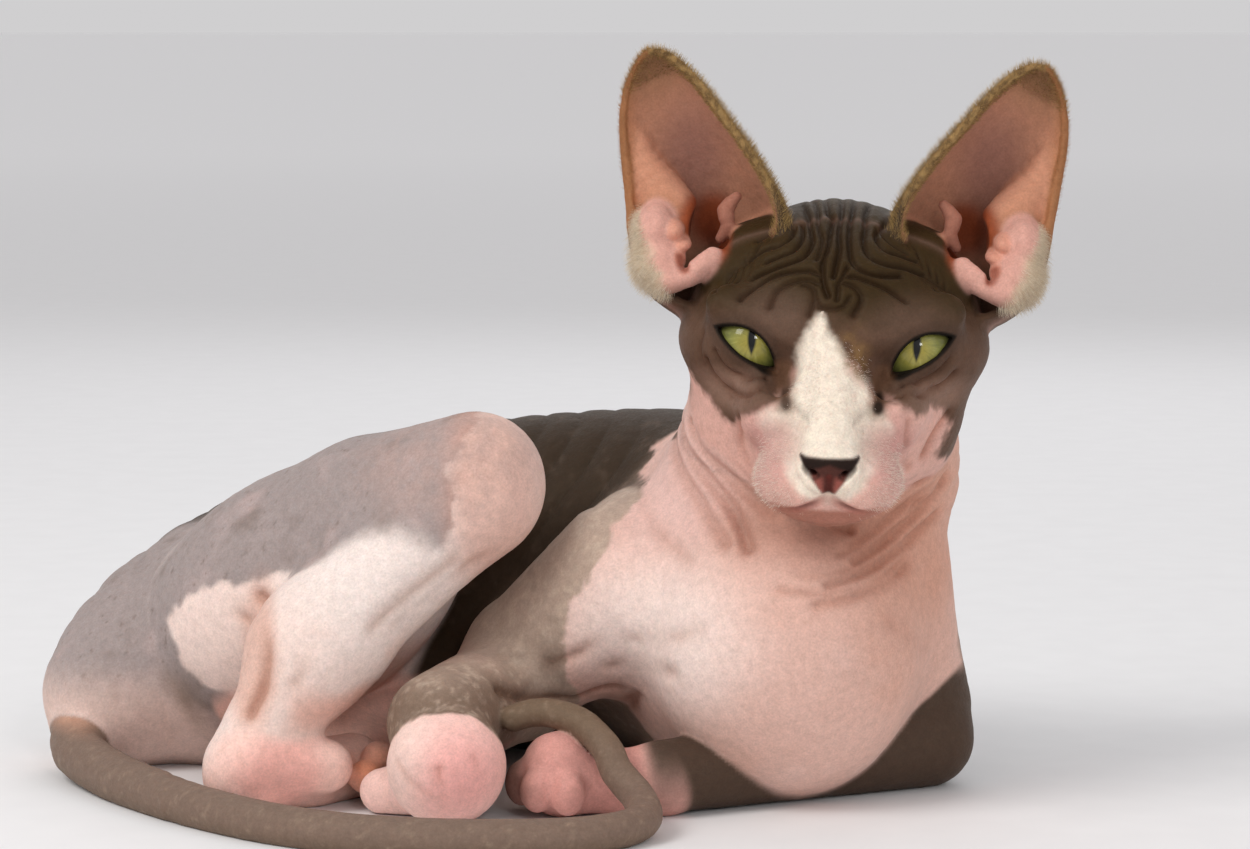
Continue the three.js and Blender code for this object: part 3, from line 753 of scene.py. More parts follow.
# Creases, each a line of points in the head's frame, with its width and depth
FOREHEAD = [
    ([(-5.7, 21, 32), (-5.5, 14, 30), (-4.3, 8, 28), (-4.6, 4.5, 26.3), (-5.4, 1, 24)], 0.9, 0.95),
    ([(-3.1, 22, 32.5), (-1.6, 18, 31.7), (-2.1, 12.7, 30), (-2.8, 5, 26.7), (-4, 0, 23.5),
        (-3.6, -5, 19.3),
      (-2.2, -7.8, 16.2)], 1.0, 1.25),
    ([(0.6, 21, 32.5), (0, 12, 29.8), (0.3, 4.4, 26.5), (-0.3, -0.2, 23.7), (-0.9, -4, 20.6)], 1.0, 1.25),
    ([(3.5, 23, 32.7), (2.8, 13, 30), (3, 4.7, 26.5), (3.9, 0.3, 23.8), (6.8, -1.6, 21.9), (11.5, -1, 20.7),
      (16.7, 2, 20.3)], 1.0, 1.2),
    ([(7, 23, 32), (7, 14.7, 30), (6.6, 8, 27.6), (8.3, 3.4, 24.9), (12.5, 2.8, 23), (17.8, 5.3, 21.7),
      (23, 8, 19.3)], 1.0, 1.15),
    ([(10.5, 16, 29.6), (10, 11, 28), (12.4, 7.8, 25.8), (16.6, 8.8, 24.2), (20.9, 10.3, 22.4)], 0.9, 1.1),
    ([(12.6, 22, 30.4), (11.3, 15.3, 29), (13.9, 11.6, 26.7), (18.2, 11, 24.3)], 0.9, 0.95),
    ([(-8.9, 24, 32), (-7.6, 13.8, 29.6), (-6.9, 7.3, 27.2), (-8.8, 2.7, 24.3), (-13.4, 2, 22.2),
      (-17.5, 2.7, 20.3), (-22, 4, 17.5)], 1.0, 1.15),
    ([(-9.7, 17, 30), (-9.6, 9.8, 27.6), (-11.5, 5.8, 25.2), (-15, 5.6, 23.5), (-18.6, 6.2, 21.6)], 0.9,
        1.1),
    ([(-11.8, 16, 29), (-12.7, 11.5, 27.2), (-15.7, 10, 25.2), (-19.4, 11, 23.8), (-23, 10.4, 21)], 0.9,
        1.0),
    ([(-13.9, 18.6, 28.9), (-18, 17, 26.9), (-21.1, 15.5, 25.2)], 0.9, 0.8),
    ([(-4.5, -3.4, 20.8), (-7.1, -2.1, 21.4), (-12.2, -0.8, 20.7), (-17.4, 0.5, 18.6), (-21.4, 0, 15.9),
      (-24.8, -3.9, 13.4)], 1.0, 1.0),
    ([(2.7, -3.6, 20.8), (5.9, -3.5, 20.4), (10, -3.6, 19), (14.3, -3.3, 17), (18, -3.9, 14.7)], 1.0, 1.0),
    ([(-4.9, -5.3, 18.8), (-8, -4, 19.4), (-12.1, -3.5, 18.1), (-15.6, -3.7, 15.9), (-17, -6.9, 12.3)],
        1.1, 0.8),
    ([(1.3, -5.1, 19.5), (4.9, -5.8, 18.2), (6.6, -7.5, 15.5), (4.7, -9.9, 11.7)], 1.1, 0.9),
    ([(2.7, -1.1, 22.9), (1.5, -3.8, 20.8), (0.5, -5.6, 19), (0.2, -8.4, 15.4)], 0.9, 1.0),
    ([(-5.2, -8, 15.1), (-4.1, -9.2, 13.3), (-1, -9.7, 13), (2, -9.2, 13.8), (3.5, -7.8, 16)], 0.9, 0.7),
    ([(-9, -4.5, 18.4), (-6.4, -5.9, 17.8), (-5.7, -7.9, 15.1), (-6.6, -9.9, 11.3)], 1.1, 0.8),
    ([(-22.9, 9.6, 20.7), (-28, 10.1, 16.7), (-31.7, 0, 14.4)], 1.1, 0.6),
    ([(22.6, 7.5, 19.4), (29.1, 9.3, 15), (34.1, 11.8, 10.4)], 1.1, 0.6),
    ([(13, 4, 21.8), (19, 6, 19.9), (26, 8, 16)], 1.1, 0.6),
    ([(-13, 0, 19.8), (-19, 1.4, 17), (-25, 1, 13.6)], 1.1, 0.5),
]
FOREHEAD += [
    ([(s * (15 + 2.6 * k), 19 - 0.6 * k, 28.6 - 2.2 * k),
        (s * (19.5 + 2.4 * k), 12 - 0.8 * k, 25.4 - 2.6 * k),
      (s * (21 + 2.6 * k), 6 - 0.5 * k, 21 - 2.9 * k)], 0.75, 0.62)
    for s in (-1, 1)
    for k in range(5)
]
FACE = [
    ([(-31, -3.9, -0.8), (-28.9, -5.2, -4), (-25.5, -6.6, -6.1), (-21.4, -9.9, -6.1),
        (-17, -10.5, -5.8)], 1.0, 0.8),
    ([(-33.3, -0.7, -3.9), (-30.6, -0.5, -8.5), (-26.9, -3.1, -11.3), (-22.2, -13.6, -9.8),
        (-18.5, -14.4, -8)],
     1.3, 0.9),
    ([(-29.5, -0.5, -10), (-26.3, -4.2, -12.8), (-21.6, -15.2, -11)], 1.3, 0.5),
    ([(17.7, -11.2, -5.8), (22.7, -8.2, -5.5), (26.6, -6.8, -3.6), (30.5, -5, 0)], 1.0, 0.8),
    ([(17.8, -14.6, -8), (22.8, -10.6, -8.6), (27.8, -4.1, -7.8), (32, -2.3, -4.3)], 1.3, 0.9),
    ([(-34.6, 1.6, 3), (-34.9, 0.7, -2.3), (-33.2, 0.5, -6.3)], 1.2, 0.5),
    ([(-23.9, -11, -16.6), (-23.1, -2.9, -24.1), (-19.7, -3.3, -31.8)], 1.6, 0.6),
    ([(19.9, -17.9, -13.7), (19.4, -16.1, -19.6), (20.9, -2.5, -30.2)], 1.4, 0.5),
    ([(31, 3.1, -16), (27.4, 0.1, -21), (24.7, 0.7, -27.6)], 1.6, 0.8),
    ([(-13, -9.5, -4.6), (-12.6, -13, -7.2), (-13.5, -17, -9.5)], 1.0, 0.8),
    ([(12.6, -9.5, -4.6), (12, -13, -7.2), (12.5, -17, -9.8)], 1.0, 0.9),
]
# Folds of the neck, armpit and hind leg, in the frame of the design
NECK = [
    ([(15, 32, 99), (20, 15, 90), (28, 5, 81), (32, -4, 72)], 2.2, 2.0),
    ([(17, 22, 101), (25, 10, 91), (35, 3, 83), (46, -1, 79), (59, 2, 76)], 2.0, 1.8),
    ([(11, 46, 98), (14, 26, 91), (20, 9, 81), (26, -1, 73)], 2.4, 1.2),
    ([(60, -3, 68), (67, 6, 71), (76, 17, 76), (81, 22, 81), (86, 26, 86)], 2.0, 1.4),
    ([(53, -10, 63), (64, -2, 66), (74, 15, 70), (84, 26, 76)], 1.9, 1.3),
    ([(50, -12, 58), (61, -7, 60), (73, 9, 64), (84, 22, 70)], 1.9, 1.1),
    ([(60, -2, 73), (70, 10, 77), (78, 18, 83), (83, 24, 90)], 1.8, 1.2),
    ([(46, -12, 66), (56, -8, 66), (66, 3, 68)], 1.8, 0.8),
    ([(-33, 9, 32), (-25, 21, 27), (-15, 31, 25), (-7, 30, 28), (0, 29, 31)], 1.8, 1.6),
    ([(13, 40, 101), (17, 24, 95), (24, 8, 86), (31, -2, 78)], 1.5, 1.3),
    ([(20, 22, 103), (29, 8, 94), (39, 1, 86), (50, -4, 82)], 1.5, 1.3),
    ([(24, 14, 100), (33, 4, 92), (43, -2, 85)], 1.4, 1.0),
    ([(56, -6, 71), (66, 3, 73), (76, 15, 78), (84, 26, 88)], 1.4, 1.2),
    ([(52, -11, 60), (63, -4, 62), (75, 12, 67), (86, 25, 74)], 1.5, 1.0),
    ([(66, -4, 80), (75, 8, 84), (82, 20, 90)], 1.4, 1.1),
    ([(40, -12, 62), (50, -12, 61), (60, -8, 62)], 1.6, 0.7),
    ([(18, 4, 66), (10, 14, 72), (5, 30, 80)], 2.4, 0.6),
    ([(2, 12, 44), (10, 2, 46), (20, -5, 50)], 2.6, 0.6),
    ([(-4, 22, 36), (4, 10, 36), (14, 2, 38)], 2.4, 0.7),
    ([(84, 18, 40), (78, 4, 46), (70, -4, 52)], 2.8, 0.6),
    ([(-84, 12, 54), (-82, 0, 46), (-86, -3, 36)], 1.8, 0.9),
    ([(-46, 8, 66), (-56, 4, 58), (-66, 2, 50)], 2.6, 0.6),
    ([(-36, 14, 70), (-48, 6, 58), (-60, 3, 50)], 2.4, 0.5),
    ([(-60, -18, 18), (-56, -22, 13), (-50, -24, 9)], 1.2, 0.7),
    ([(-38, -22, 20), (-36, -23, 13), (-37, -22, 7)], 1.2, 0.8),
    ([(-48, -24, 17), (-47, -25, 11), (-47, -23, 6)], 1.1, 0.7),
    ([(-10, 44, 14), (-1, 40, 21), (4, 28, 28)], 1.8, 1.5),
    ([(-20, 22, 36), (-12, 20, 40), (-5, 20, 48)], 2.4, 0.9),
    ([(-19, -14, 13), (-19, -15.5, 8), (-19, -14, 3)], 1.3, 0.9),
    ([(-27.5, -7, 13), (-29.5, -7.5, 8), (-29, -7, 3)], 1.3, 0.9),
    ([(-98, 29, 54), (-93, 4, 47), (-94, -1, 37), (-98, -3, 28)], 2.0, 1.6),
    ([(-88, 14, 52), (-88, 2, 44), (-93, -1, 34)], 2.2, 0.9),
    ([(-104, 34, 50), (-100, 22, 42), (-101, 8, 30)], 2.2, 0.8),
]


# How much deeper each set of creases is pressed than its list says
FOREHEAD_DEEP = 1.6
FACE_DEEP = 1.5
NECK_DEEP = 1.6


def crease_field(p, q):
    """How deep the skin is pressed in at each point, and how strongly it is shaded there."""
    depth = np.zeros(p.shape[1])
    for place, creases, strength in ((q, FOREHEAD, FOREHEAD_DEEP), (q, FACE, FACE_DEEP),
        (p, NECK, NECK_DEEP)):
        for points, width, deep in creases:
            x, y, z = points[0]
            if y >= 20 and place is q:
                points = [(x * 1.5, y + 24, z - 1.5), (x * 1.25, y + 13, z + 0.8), *points]
            d = off_line(place, points, width * 4)
            depth = np.maximum(depth, strength * deep * np.exp(-((d / (0.88 * width)) ** 1.4)))
    return depth * ramp(50, 24, q[1] - 30 * (q[2] < 15))


def flank_folds(p):
    """Fine slanting folds on the flank behind the right shoulder, and looser ones down the sides."""
    along = unit((0.55, 0.35, 0.75))
    side = unit(np.cross(along, (0, -1, 0)))
    s = side @ p + 2.4 * cloudy(p, 30, 5, 2)
    where = np.exp(-(((p[0] + 16) / 30) ** 2)) * ramp(26, 42, p[1]) * ramp(34, 52, p[2]) * ramp(104, 92,
        p[2])
    fine = np.abs(np.sin(s * math.pi / 7.5)) ** 0.7 - 1
    loose = np.abs(np.sin((p[0] + 6 * cloudy(p, 45, 9, 2)) * math.pi / 15)) ** 0.8 - 1
    back = ramp(60, 90, p[1]) * ramp(20, 45, p[2]) * ramp(100, 80, p[2])
    return 1.1 * fine * where + 0.9 * loose * back * (1 - where)


# Colours, as sRGB, and the paint that lays one over another
def linear(colour):
    c = np.array([int(colour[i : i + 2], 16) for i in (0, 2, 4)]) / 255
    return np.where(c <= 0.04045, c / 12.92, ((c + 0.055) / 1.055) ** 2.4)


class Paint:
    def __init__(self, colour, count):
        self.colour = np.repeat(linear(colour)[:, None], count, 1)

    def lay(self, colour, mask):
        mask = np.clip(mask, 0, 1)
        self.colour += (linear(colour)[:, None] - self.colour) * mask


def spot(p, centre, radii, soft=0.35):
    """1 at a place, fading to 0 at its radii."""
    d = np.sqrt((((p - np.array(centre, float)[:, None]) / np.array(radii, float)[:, None]) ** 2).sum(0))
    return ramp(1 + soft, 1 - soft, d)


def beyond(x, y, line):
    """How far points of a plane lie to the left of a line of points, measured across it."""
    line = smoothed(line, 3)
    best = np.full(len(x), 1e9)
    sign = np.zeros(len(x))
    for (ax, ay), (bx, by) in zip(line, line[1:]):
        wx, wy = bx - ax, by - ay
        rx, ry = x - ax, y - ay
        t = np.clip((rx * wx + ry * wy) / (wx * wx + wy * wy), 0, 1)
        dx, dy = rx - t * wx, ry - t * wy
        d = dx * dx + dy * dy
        closer = d < best
        best = np.where(closer, d, best)
        sign = np.where(closer, np.sign(wx * ry - wy * rx), sign)
    return np.sqrt(best) * sign


# Borders of the markings, seen from the front: x and z in the design's frame
SHOULDER_BORDER = [
    (16, 112), (14, 99), (10, 95), (8, 91), (5, 84), (0, 78), (-7, 69), (-9, 64), (-14, 56),
    (-16, 48), (-17, 40), (-12, 20), (-8, -5),
]
THIGH_BORDER = [
    (-105, -5), (-106, 14), (-108, 24), (-112.5, 26), (-118.5, 29.5), (-121.5, 33), (-123, 38),
    (-126, 44), (-120, 51), (-111, 56), (-100, 58), (-86, 62), (-75, 62), (-66, 62), (-57, 64),
    (-50, 68), (-45, 75), (-44, 84), (-46, 92), (-40, 100), (-36, 112),
]


def skin_tones(p, q, normal, d):
    """The colour of the skin at each point: its pigment and flush, with painted shade and painted light laid
    in where the light falls.
    """
    fine = cloudy(p, 4.5, 11, 3)
    broad = cloudy(p, 22, 3, 3)

    def flecks(low, high, size, seed, octaves):
        return ramp(low, high, cloudy(p, size, seed, octaves))

    def owned(name, soft, *rivals):
        other = np.minimum.reduce([d[n] for n in rivals]) if rivals else np.minimum.reduce([d[
            n] for n in d if n != name])
        return ramp(soft, -soft, d[name] - other) * ramp(12, 6, d[name])

    paint = Paint("D9B3A6", p.shape[1])
    lay = paint.lay
    body = np.minimum.reduce([d[n] for n in d if n != "head"])
    on_head = ramp(1.5, -1.5, d["head"] - body)

    lay("E4C4BA", ramp(0.0, 0.8, broad) * 0.6)
    lay("D39C84", ramp(0.0, -0.9, broad) * 0.45)
    # Painted shade: a darker orange-brown spot on the neck's left side, away from the key light.
    lay("CB8F74", spot(p, (88, 20, 78), (34, 40, 26)) * 0.4)
    lay("C1907C", spot(p, (54, -2, 88), (38, 26, 18), 0.6) * 0.5)
    # Painted shade: a darker orange-brown spot lower on the same side of the neck.
    lay("C0876E", spot(p, (86, 8, 62), (30, 34, 34), 0.7) * 0.5)
    lay("E2BFB8", spot(p, (14, 22, 88), (20, 30, 20), 0.6) * 0.6)
    # Painted light: a pale patch on the low front of the chest, lifting the shade between the forelegs.
    lay("F4E2DA", spot(p, (4, 0, 46), (28, 26, 20), 0.6) * 0.85)

    border = -beyond(p[0], p[2], SHOULDER_BORDER) + 2.6 * fine + 2.0 * broad
    flank = ramp(-0.7, 0.9, border) * ramp(-6, 8, p[1] - 8)
    back = ramp(55, 61, p[1] + 3 * fine + 9 * broad + 0.22 * (100 - p[2]))
    trunk_dark = np.maximum(flank, back) * (1 - on_head)
    lay("382B20", trunk_dark)
    # Painted light: the dark flank near the right arm is laid paler, with pale flecks, where the knee shades
    # it.
    near_arm = (
        ramp(84, 50, p[2] + 0.3 * p[1]) * ramp(-46, -30, p[0]) * ramp(70, 50, p[1]) * ramp(24, 8, p[0])
    )
    lay("806B5D", trunk_dark * near_arm * 0.9)
    lay("5A4A3E", trunk_dark * flecks(0.1, 0.9, 3, 21, 2) * 0.5)
    lay("B09B8B", trunk_dark * near_arm * flecks(0.0, 0.9, 2.4, 23, 3) * 0.7)
    lay("967F70", trunk_dark * ramp(4.5, 0.5, border) * ramp(60, 44, p[1]) * 0.5)

    thigh = owned("thigh_right", 3, "trunk", "upper_arm_right") * ramp(80, 60, p[1])
    shank = owned("shank_right", 2, "thigh_right") * ramp(60, 40, p[1])
    leg = np.maximum(thigh, shank)
    lay("EADBD4", leg)
    lay("E8CFC5", leg * ramp(20, -20, p[0] + 80 + (p[2] - 50) * 0.9) * 0.8)
    above = ramp(-0.9, 1.3, beyond(p[0], p[2], THIGH_BORDER) + 2.2 * fine + 1.5 * broad)
    rump = ramp(-84, -98, p[0] + 3 * broad) * ramp(8, 2, d["trunk"]) * ramp(96, 84, p[1] + 2 * fine)
    rump *= ramp(0, 3, d["tail"])
    mauve = np.maximum(
        np.maximum(thigh, rump) * above, 0.55 * thigh * spot(p, (-52, 15, 93), (20, 22, 13), 0.6)
    )
    lay("9C8F8C", mauve)
    lay("7F7069", mauve * flecks(0.0, 0.8, 8, 31, 3) * 0.75)
    lay("B8A39F", mauve * flecks(0.1, 0.8, 13, 37, 3) * 0.7)
    lay("6E5D55", mauve * flecks(0.45, 0.7, 1.5, 39, 2) * 0.55)
    lay("E4C6BA", rump * ramp(34, 16, p[2]) * ramp(-100, -116, p[0]) * 0.8)
    top = np.maximum(thigh, rump) * ramp(0.62, 1.0, normal[2] * 0.75 + normal[1] * 0.8)
    lay("4A3C33", top * 0.85)
    lay("75604F", leg * ramp(36, 22, p[2]) * ramp(-112, -122, p[0]) * 0.6)
    lay("DB9B82", spot(p, (-36, 22, 84), (13, 30, 26)) * leg * 0.5)
    lay("A9918A", thigh * spot(p, (-54, 14, 93), (21, 22, 12), 0.6) * ramp(-0.5, 0.5, fine + broad) * 0.6)
    lay("B59A92", thigh * spot(p, (-44, 16, 91), (18, 26, 16), 0.9) * ramp(-0.8, 0.4, broad + fine) * 0.55)
    lay("E3AE9C", spot(p, (-78, 2, 34), (26, 18, 16)) * shank * flecks(-0.2, 0.7, 14, 41, 2) * 0.7)
    lay("C98F77", leg * spot(p, (-98, 8, 42), (7, 30, 20)) * 0.5)

    foot = owned("foot_right", 2, "shank_right", "tail")
    lay("F0C8BC", foot)
    lay("EDA79C", foot * spot(p, (-92, 0, 12), (12, 16, 10)) * 0.6)
    lay("D98C68", foot * spot(p, (-67, 14, 10), (8, 9, 9)) * 0.9)

    wrist = (
        2.0 * cloudy(p, 5, 51, 2) + p[1] + 13 + 0.5 * (p[2] - 29)
        - 30 * ramp(-52, -57, p[0]) * ramp(16, 10, p[2])
    )
    paw = owned("paw_right", 1.5, "forearm_right", "shank_right", "foot_right", "tail")
    arm = np.maximum(
        owned("upper_arm_right", 1.5, "trunk", "thigh_right", "foot_right"),
        owned("forearm_right", 1.5, "trunk", "shank_right", "foot_right"),
    )
    arm_dark = np.maximum(arm, paw) * ramp(-1, 1.2, wrist) * ramp(-0.7, 0.9, border + 1)
    # The right foreleg's taupe pigment, laid pale and grey: partly its own colour, partly painted sheen and
    # fill light; the flecks too.
    lay("B09B8C", arm_dark)
    lay("705B4C", arm_dark * ramp(44, 30, p[2]) * ramp(26, 8, p[1]) * 0.85)
    lay("C8B4A2", arm_dark * flecks(-0.1, 0.8, 1.8, 55, 3) * 0.65)
    lay("77655A", arm_dark * flecks(0.1, 0.8, 7, 57, 2) * 0.5)
    lay("F0CAC0", paw * ramp(1, -1, wrist))
    lay("EBA59F", paw * ramp(1, -1, wrist) * spot(p, (-42, -20, 15), (12, 12, 11), 0.8) * 0.75)
    lay("F0D6CB", paw * ramp(1, -1, wrist) * spot(p, (-58, -14, 20), (8, 10, 14), 0.6) * 0.6)

    left = owned("forearm_left", 1.5, "trunk", "paw_left", "tail")
    lay("4B3B31", left)
    left_paw = owned("paw_left", 1.2, "forearm_left", "tail", "paw_right")
    lay("D2988E", left_paw)
    lay("6B5046", left_paw * ramp(-20, -30, p[0] + 2 * fine) * 0.9)
    hind = np.maximum(
        owned("shank_left", 1.5, "thigh_left", "trunk"), owned("foot_left", 1.5, "thigh_left", "trunk")
    )
    lay("E2B6A8", hind)
    # Painted light: a pale patch over the hind foot and the skin behind the right paw, lifting their shade.
    lay(
        "E6BFB1",
        ramp(-96, -86, p[0]) * ramp(-30, -44, p[0]) * ramp(44, 30, p[2]) * ramp(8, 20, p[1])
        * ramp(60, 46, p[1]) * 0.85,
    )
    tail = owned("tail", 0.8)
    lay("7A665A", tail)
    # Darker along the tail's front stretch, and painted shade on its downward-facing underside.
    lay(
        "73604F",
        tail * np.maximum(ramp(-24, -2, p[1]) * ramp(-60, -30, p[0]), 0.5 * ramp(0.2, -0.6, normal[2])),
    )
    lay("A08B78", tail * flecks(0.1, 0.8, 1.6, 61, 3) * 0.5)
    lay("C99A82", tail * ramp(-140, -150, p[0]) * ramp(12, 18, p[2]) * 0.8)

    face_tones(paint, q, on_head, fine)
    return paint.colour


# Borders on the face: x and z in the head's frame
BLAZE_LEFT = [
    (-4.3, 11.5), (-7, 8), (-9, 4), (-10, -1), (-10, -5), (-12, -9), (-17, -12.5), (-19, -16),
    (-16.5, -20), (-13, -23), (-10, -27), (-6, -31), (-3, -33.5),
]
BLAZE_RIGHT = [
    (-3, 11.5), (-1, 7), (2.5, 3.7), (4, 0), (6.7, -3), (9.3, -5.5), (11, -9), (15, -12),
    (16.5, -16), (14.5, -20), (12.5, -23.5), (10, -27), (6, -31), (3, -33.5),
]
MASK_EDGE = [
    (-42, -8), (-34, -13.3), (-30, -17.6), (-26, -20), (-22, -14.5), (-18, -11.5), (-13, -9),
    (-10, -4), (-3, 0), (5, 0), (9, -6), (13, -9), (17, -9.5), (22, -12.5), (28, -13.5),
    (31, -20), (28, -27), (33, -32), (42, -34),
]


def face_tones(paint, q, on_head, fine):
    """The dark mask, pale blaze, eye lines, nose, lips and ears, with painted shade under the chin, in the
    mouth's groove, the nostrils and the ear canals.
    """
    lay = paint.lay
    x, y, z = q
    front = on_head * ramp(26, 14, y)
    fine_head = cloudy(q, 3.2, 71, 3)
    mask = ramp(-1.2, 1.4, beyond(x, z, MASK_EDGE) + 1.8 * fine_head)
    low_edge = -26 - 26 * ramp(20, 40, y)
    crown = np.maximum(mask * front, on_head * ramp(12, 22, y) * ramp(0, 14, z - low_edge + 0.3 * fine))
    lay("D5A89B", front)
    lay("5A4234", crown)
    lay("34250F", crown * ramp(5, 14, z + 3 * fine_head))
    lay("6B5044", crown * ramp(6, -6, z) * ramp(0.0, 0.7, cloudy(q, 9, 73, 2)) * 0.7)
    lay("624B3F", crown * spot(q, (-15, -8, 10), (11, 20, 6), 0.8) * 0.7)
    lay("624B3F", crown * spot(q, (19, -8, 10), (11, 20, 5), 0.8) * 0.6)
    blaze = np.minimum(beyond(x, z, BLAZE_LEFT), -beyond(x, z, BLAZE_RIGHT)) + 1.3 * fine_head
    blaze = front * ramp(-1.2, 2.0, blaze) * ramp(-34, -28.5, z)
    lay("E9DCCB", blaze)
    lay("DDBFAE", blaze * ramp(0.0, 0.9, cloudy(q, 1.3, 75, 2)) * 0.45)
    lay("7E5F3C", front * spot(q, (5, -12, 1.5), (4, 10, 7), 0.6) * ramp(-0.5, 0.6, fine_head) * 0.8)
    flat = np.stack([x, np.zeros(len(x)), z])
    ahead = front * ramp(-2, -5, y)
    for s in (-1, 1):
        lay("C3938C", front * spot(q, (s * 15, -20, -23), (8, 14, 9), 0.6) * 0.8)
        depth, above, below = lid_edges(s, q)
        rim = np.maximum(above, below)
        close = (depth > 2) * (np.abs(x - s * 21.5) < 16)
        lay("3A2A22", front * close * ramp(4.5, 1.5, rim) * 0.5)
        lay("0E0806", front * close * ramp(1.2, 0.5, rim))
        inner = chain([(s * 13.2, 0, -4.4), (s * 12, 0, -7), (s * 11.8, 0, -10.2)], (0.9, 0.8, 0.8))(flat)
        lay("2A1B16", ahead * ramp(0.9, -0.3, inner + 0.5 * fine_head) * (0.9 if s > 0 else 0.75))
        lay("6B4A35", ahead * ramp(3.4, 0.4, inner + fine_head) * 0.6)
        lay("1A0E0A", ahead * spot(flat, (s * 11.9, 0, -10), (1.5, 9, 1.7), 0.5)
            * (0.95 if s > 0 else 0.55))
        lay("8D6F60", front * crown * spot(q, (s * 26, -4, -11), (11, 14, 5.5), 0.5) * 0.7)
    lips = np.minimum(*(m(q) for m in mouth_line))
    # The chin's redder tone below the mouth, partly painted shade under the lower lip.
    lay("A06654", front * ramp(-33.8, -35.6, z - 0.1 * np.abs(x)) * ramp(-8, -16, y)
        * ramp(18, 11, np.abs(x)) * 0.85)
    # Painted shade on the chin's underside, and a painted shadow on the neck below the chin.
    lay("8F5C4A", on_head * spot(q, (0, -12, -43), (19, 15, 5), 0.7) * 0.8)
    lay("A3705C", (1 - on_head) * spot(q, (0, -6, -46), (24, 18, 9), 0.7) * 0.6)
    lay("A8675C", front * ramp(1.6, 0.2, lips) * ramp(12, 6, np.abs(x)) * 0.6)
    # Painted shade: a dark line in the groove of the mouth.
    lay("55271F", front * ramp(0.5, -0.3, lips) * ramp(11, 5, np.abs(x)))
    leather = np.maximum(np.abs(x) * 0.9 + (-21.2 - z) * 0.62 - 6.2, np.maximum(z + 20.0, -29.0 - z))
    leather = front * ramp(0.7, -0.5, np.maximum(leather, y + 31.5))
    lay("4B2A25", leather)
    lay("8E4F46", leather * ramp(-23.5, -26, z) * ramp(0.5, 2.2, np.abs(x)))
    lay("1E1210", leather * ramp(-22.8, -21.6, z + 0.35 * np.abs(x) - 0.8))
    holes = np.minimum(*(m(q) for m in nostrils))
    # Painted shade: near black in the nostrils.
    lay("140908", front * ramp(0.5, -0.3, holes))
    lay("5A241F", front * ramp(0.9, 0.0, philtrum(q)))

    folded = np.stack([np.abs(x), y, z])
    height, _, turn, reach, half, inner_edge, outer_edge = ear_place(q)
    shell = ear_shell(folded)
    rim, fold, knob, lumps = (form(folded) for form in (ear_rim, ear_fold, ear_knob, ear_lumps))
    ear = ramp(2.5, 0.5, np.minimum.reduce([shell, rim, fold, knob, lumps])) * ramp(6, 16, z)
    inward = ear * ramp(0.2, -1.0, reach - (half - 0.5 * EAR_THICKNESS)) * ramp(-8, 4, height)
    lay("41342A", ear * (1 - inward))
    lay("B37F66", inward)
    lay("8E6458", inward * spot(folded, (40, 34, 42), (9, 20, 15), 0.7) * 0.9)
    lay("B9805E", inward * ramp(0.55, 0.95, turn / np.maximum(outer_edge, 0.1)) * ramp(-2, 8, height) * 0.8)
    lay("8C6A4A", inward * ramp(40, 54, height) * 0.7)
    inner_rim = ear * ramp(3.6, 1.2, (turn + inner_edge) * half) * ramp(4, 14, height)
    outer_rim = ear * ramp(2.2, 0.6, (outer_edge - turn) * half) * ramp(10, 16, height)
    lay("6E5638", inner_rim * 0.9)
    lay("B59462", inner_rim * ramp(-0.4, 0.5, cloudy(q, 1.2, 77, 3)) * 0.8)
    lay("9C6B48", outer_rim * 0.9)
    hollow = ear_canal(folded)
    within = ramp(0.5, -0.5, reach - half) * ramp(46, 42, y)
    lay("C28A70", ear * within * ramp(2.2, 0.2, fold) * ramp(0, 3, hollow) * 0.8)
    # The canal's red-brown skin round the ear's hollow, partly painted shade.
    lay("7A3A28", ramp(6, 1, hollow) * on_head * within * ramp(8, 12, z) * ramp(27, 31, folded[0]) * 0.7)
    lobe = ear * ramp(2.0, 0.2, rim) * ramp(33, 28, y)
    lay("D19E90", lobe)
    lay("D2BFA6", lobe * ramp(46, 52, folded[0] + 0.5 * (20 - z) + 2 * fine_head))
    lay("D79A86", ear * ramp(1.0, 0.0, lumps) * 0.8)
    lay("A06B5A", ear * ramp(1.2, -0.2, knob) * within)
    flesh = np.minimum.reduce([rim, knob, lumps])
    # Painted shade in the ear canal's hollow, away from its fleshy knobs: red-brown round it and near black
    # at its middle.
    deep = on_head * within * ramp(8, 12, z) * ramp(27, 30.5, folded[0]) * ramp(0.4, 1.4, flesh)
    lay("8E4426", deep * ramp(4.5, 1.0, hollow) * 0.9)
    lay("3A150B", deep * ramp(0.6, -0.6, hollow))
    lay("9A5440", ramp(1.4, -0.2, ear_pit(folded)) * on_head * ramp(6, 10, z) * 0.8)


# Meshes and materials
def shift_to_row():
    low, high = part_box("eye_left")
    middle = np.array((low + high) / 2) / MM
    return HEAD_PLACE + HEAD_AXES @ np.array(eye_place(1)) - middle


SHIFT = shift_to_row()


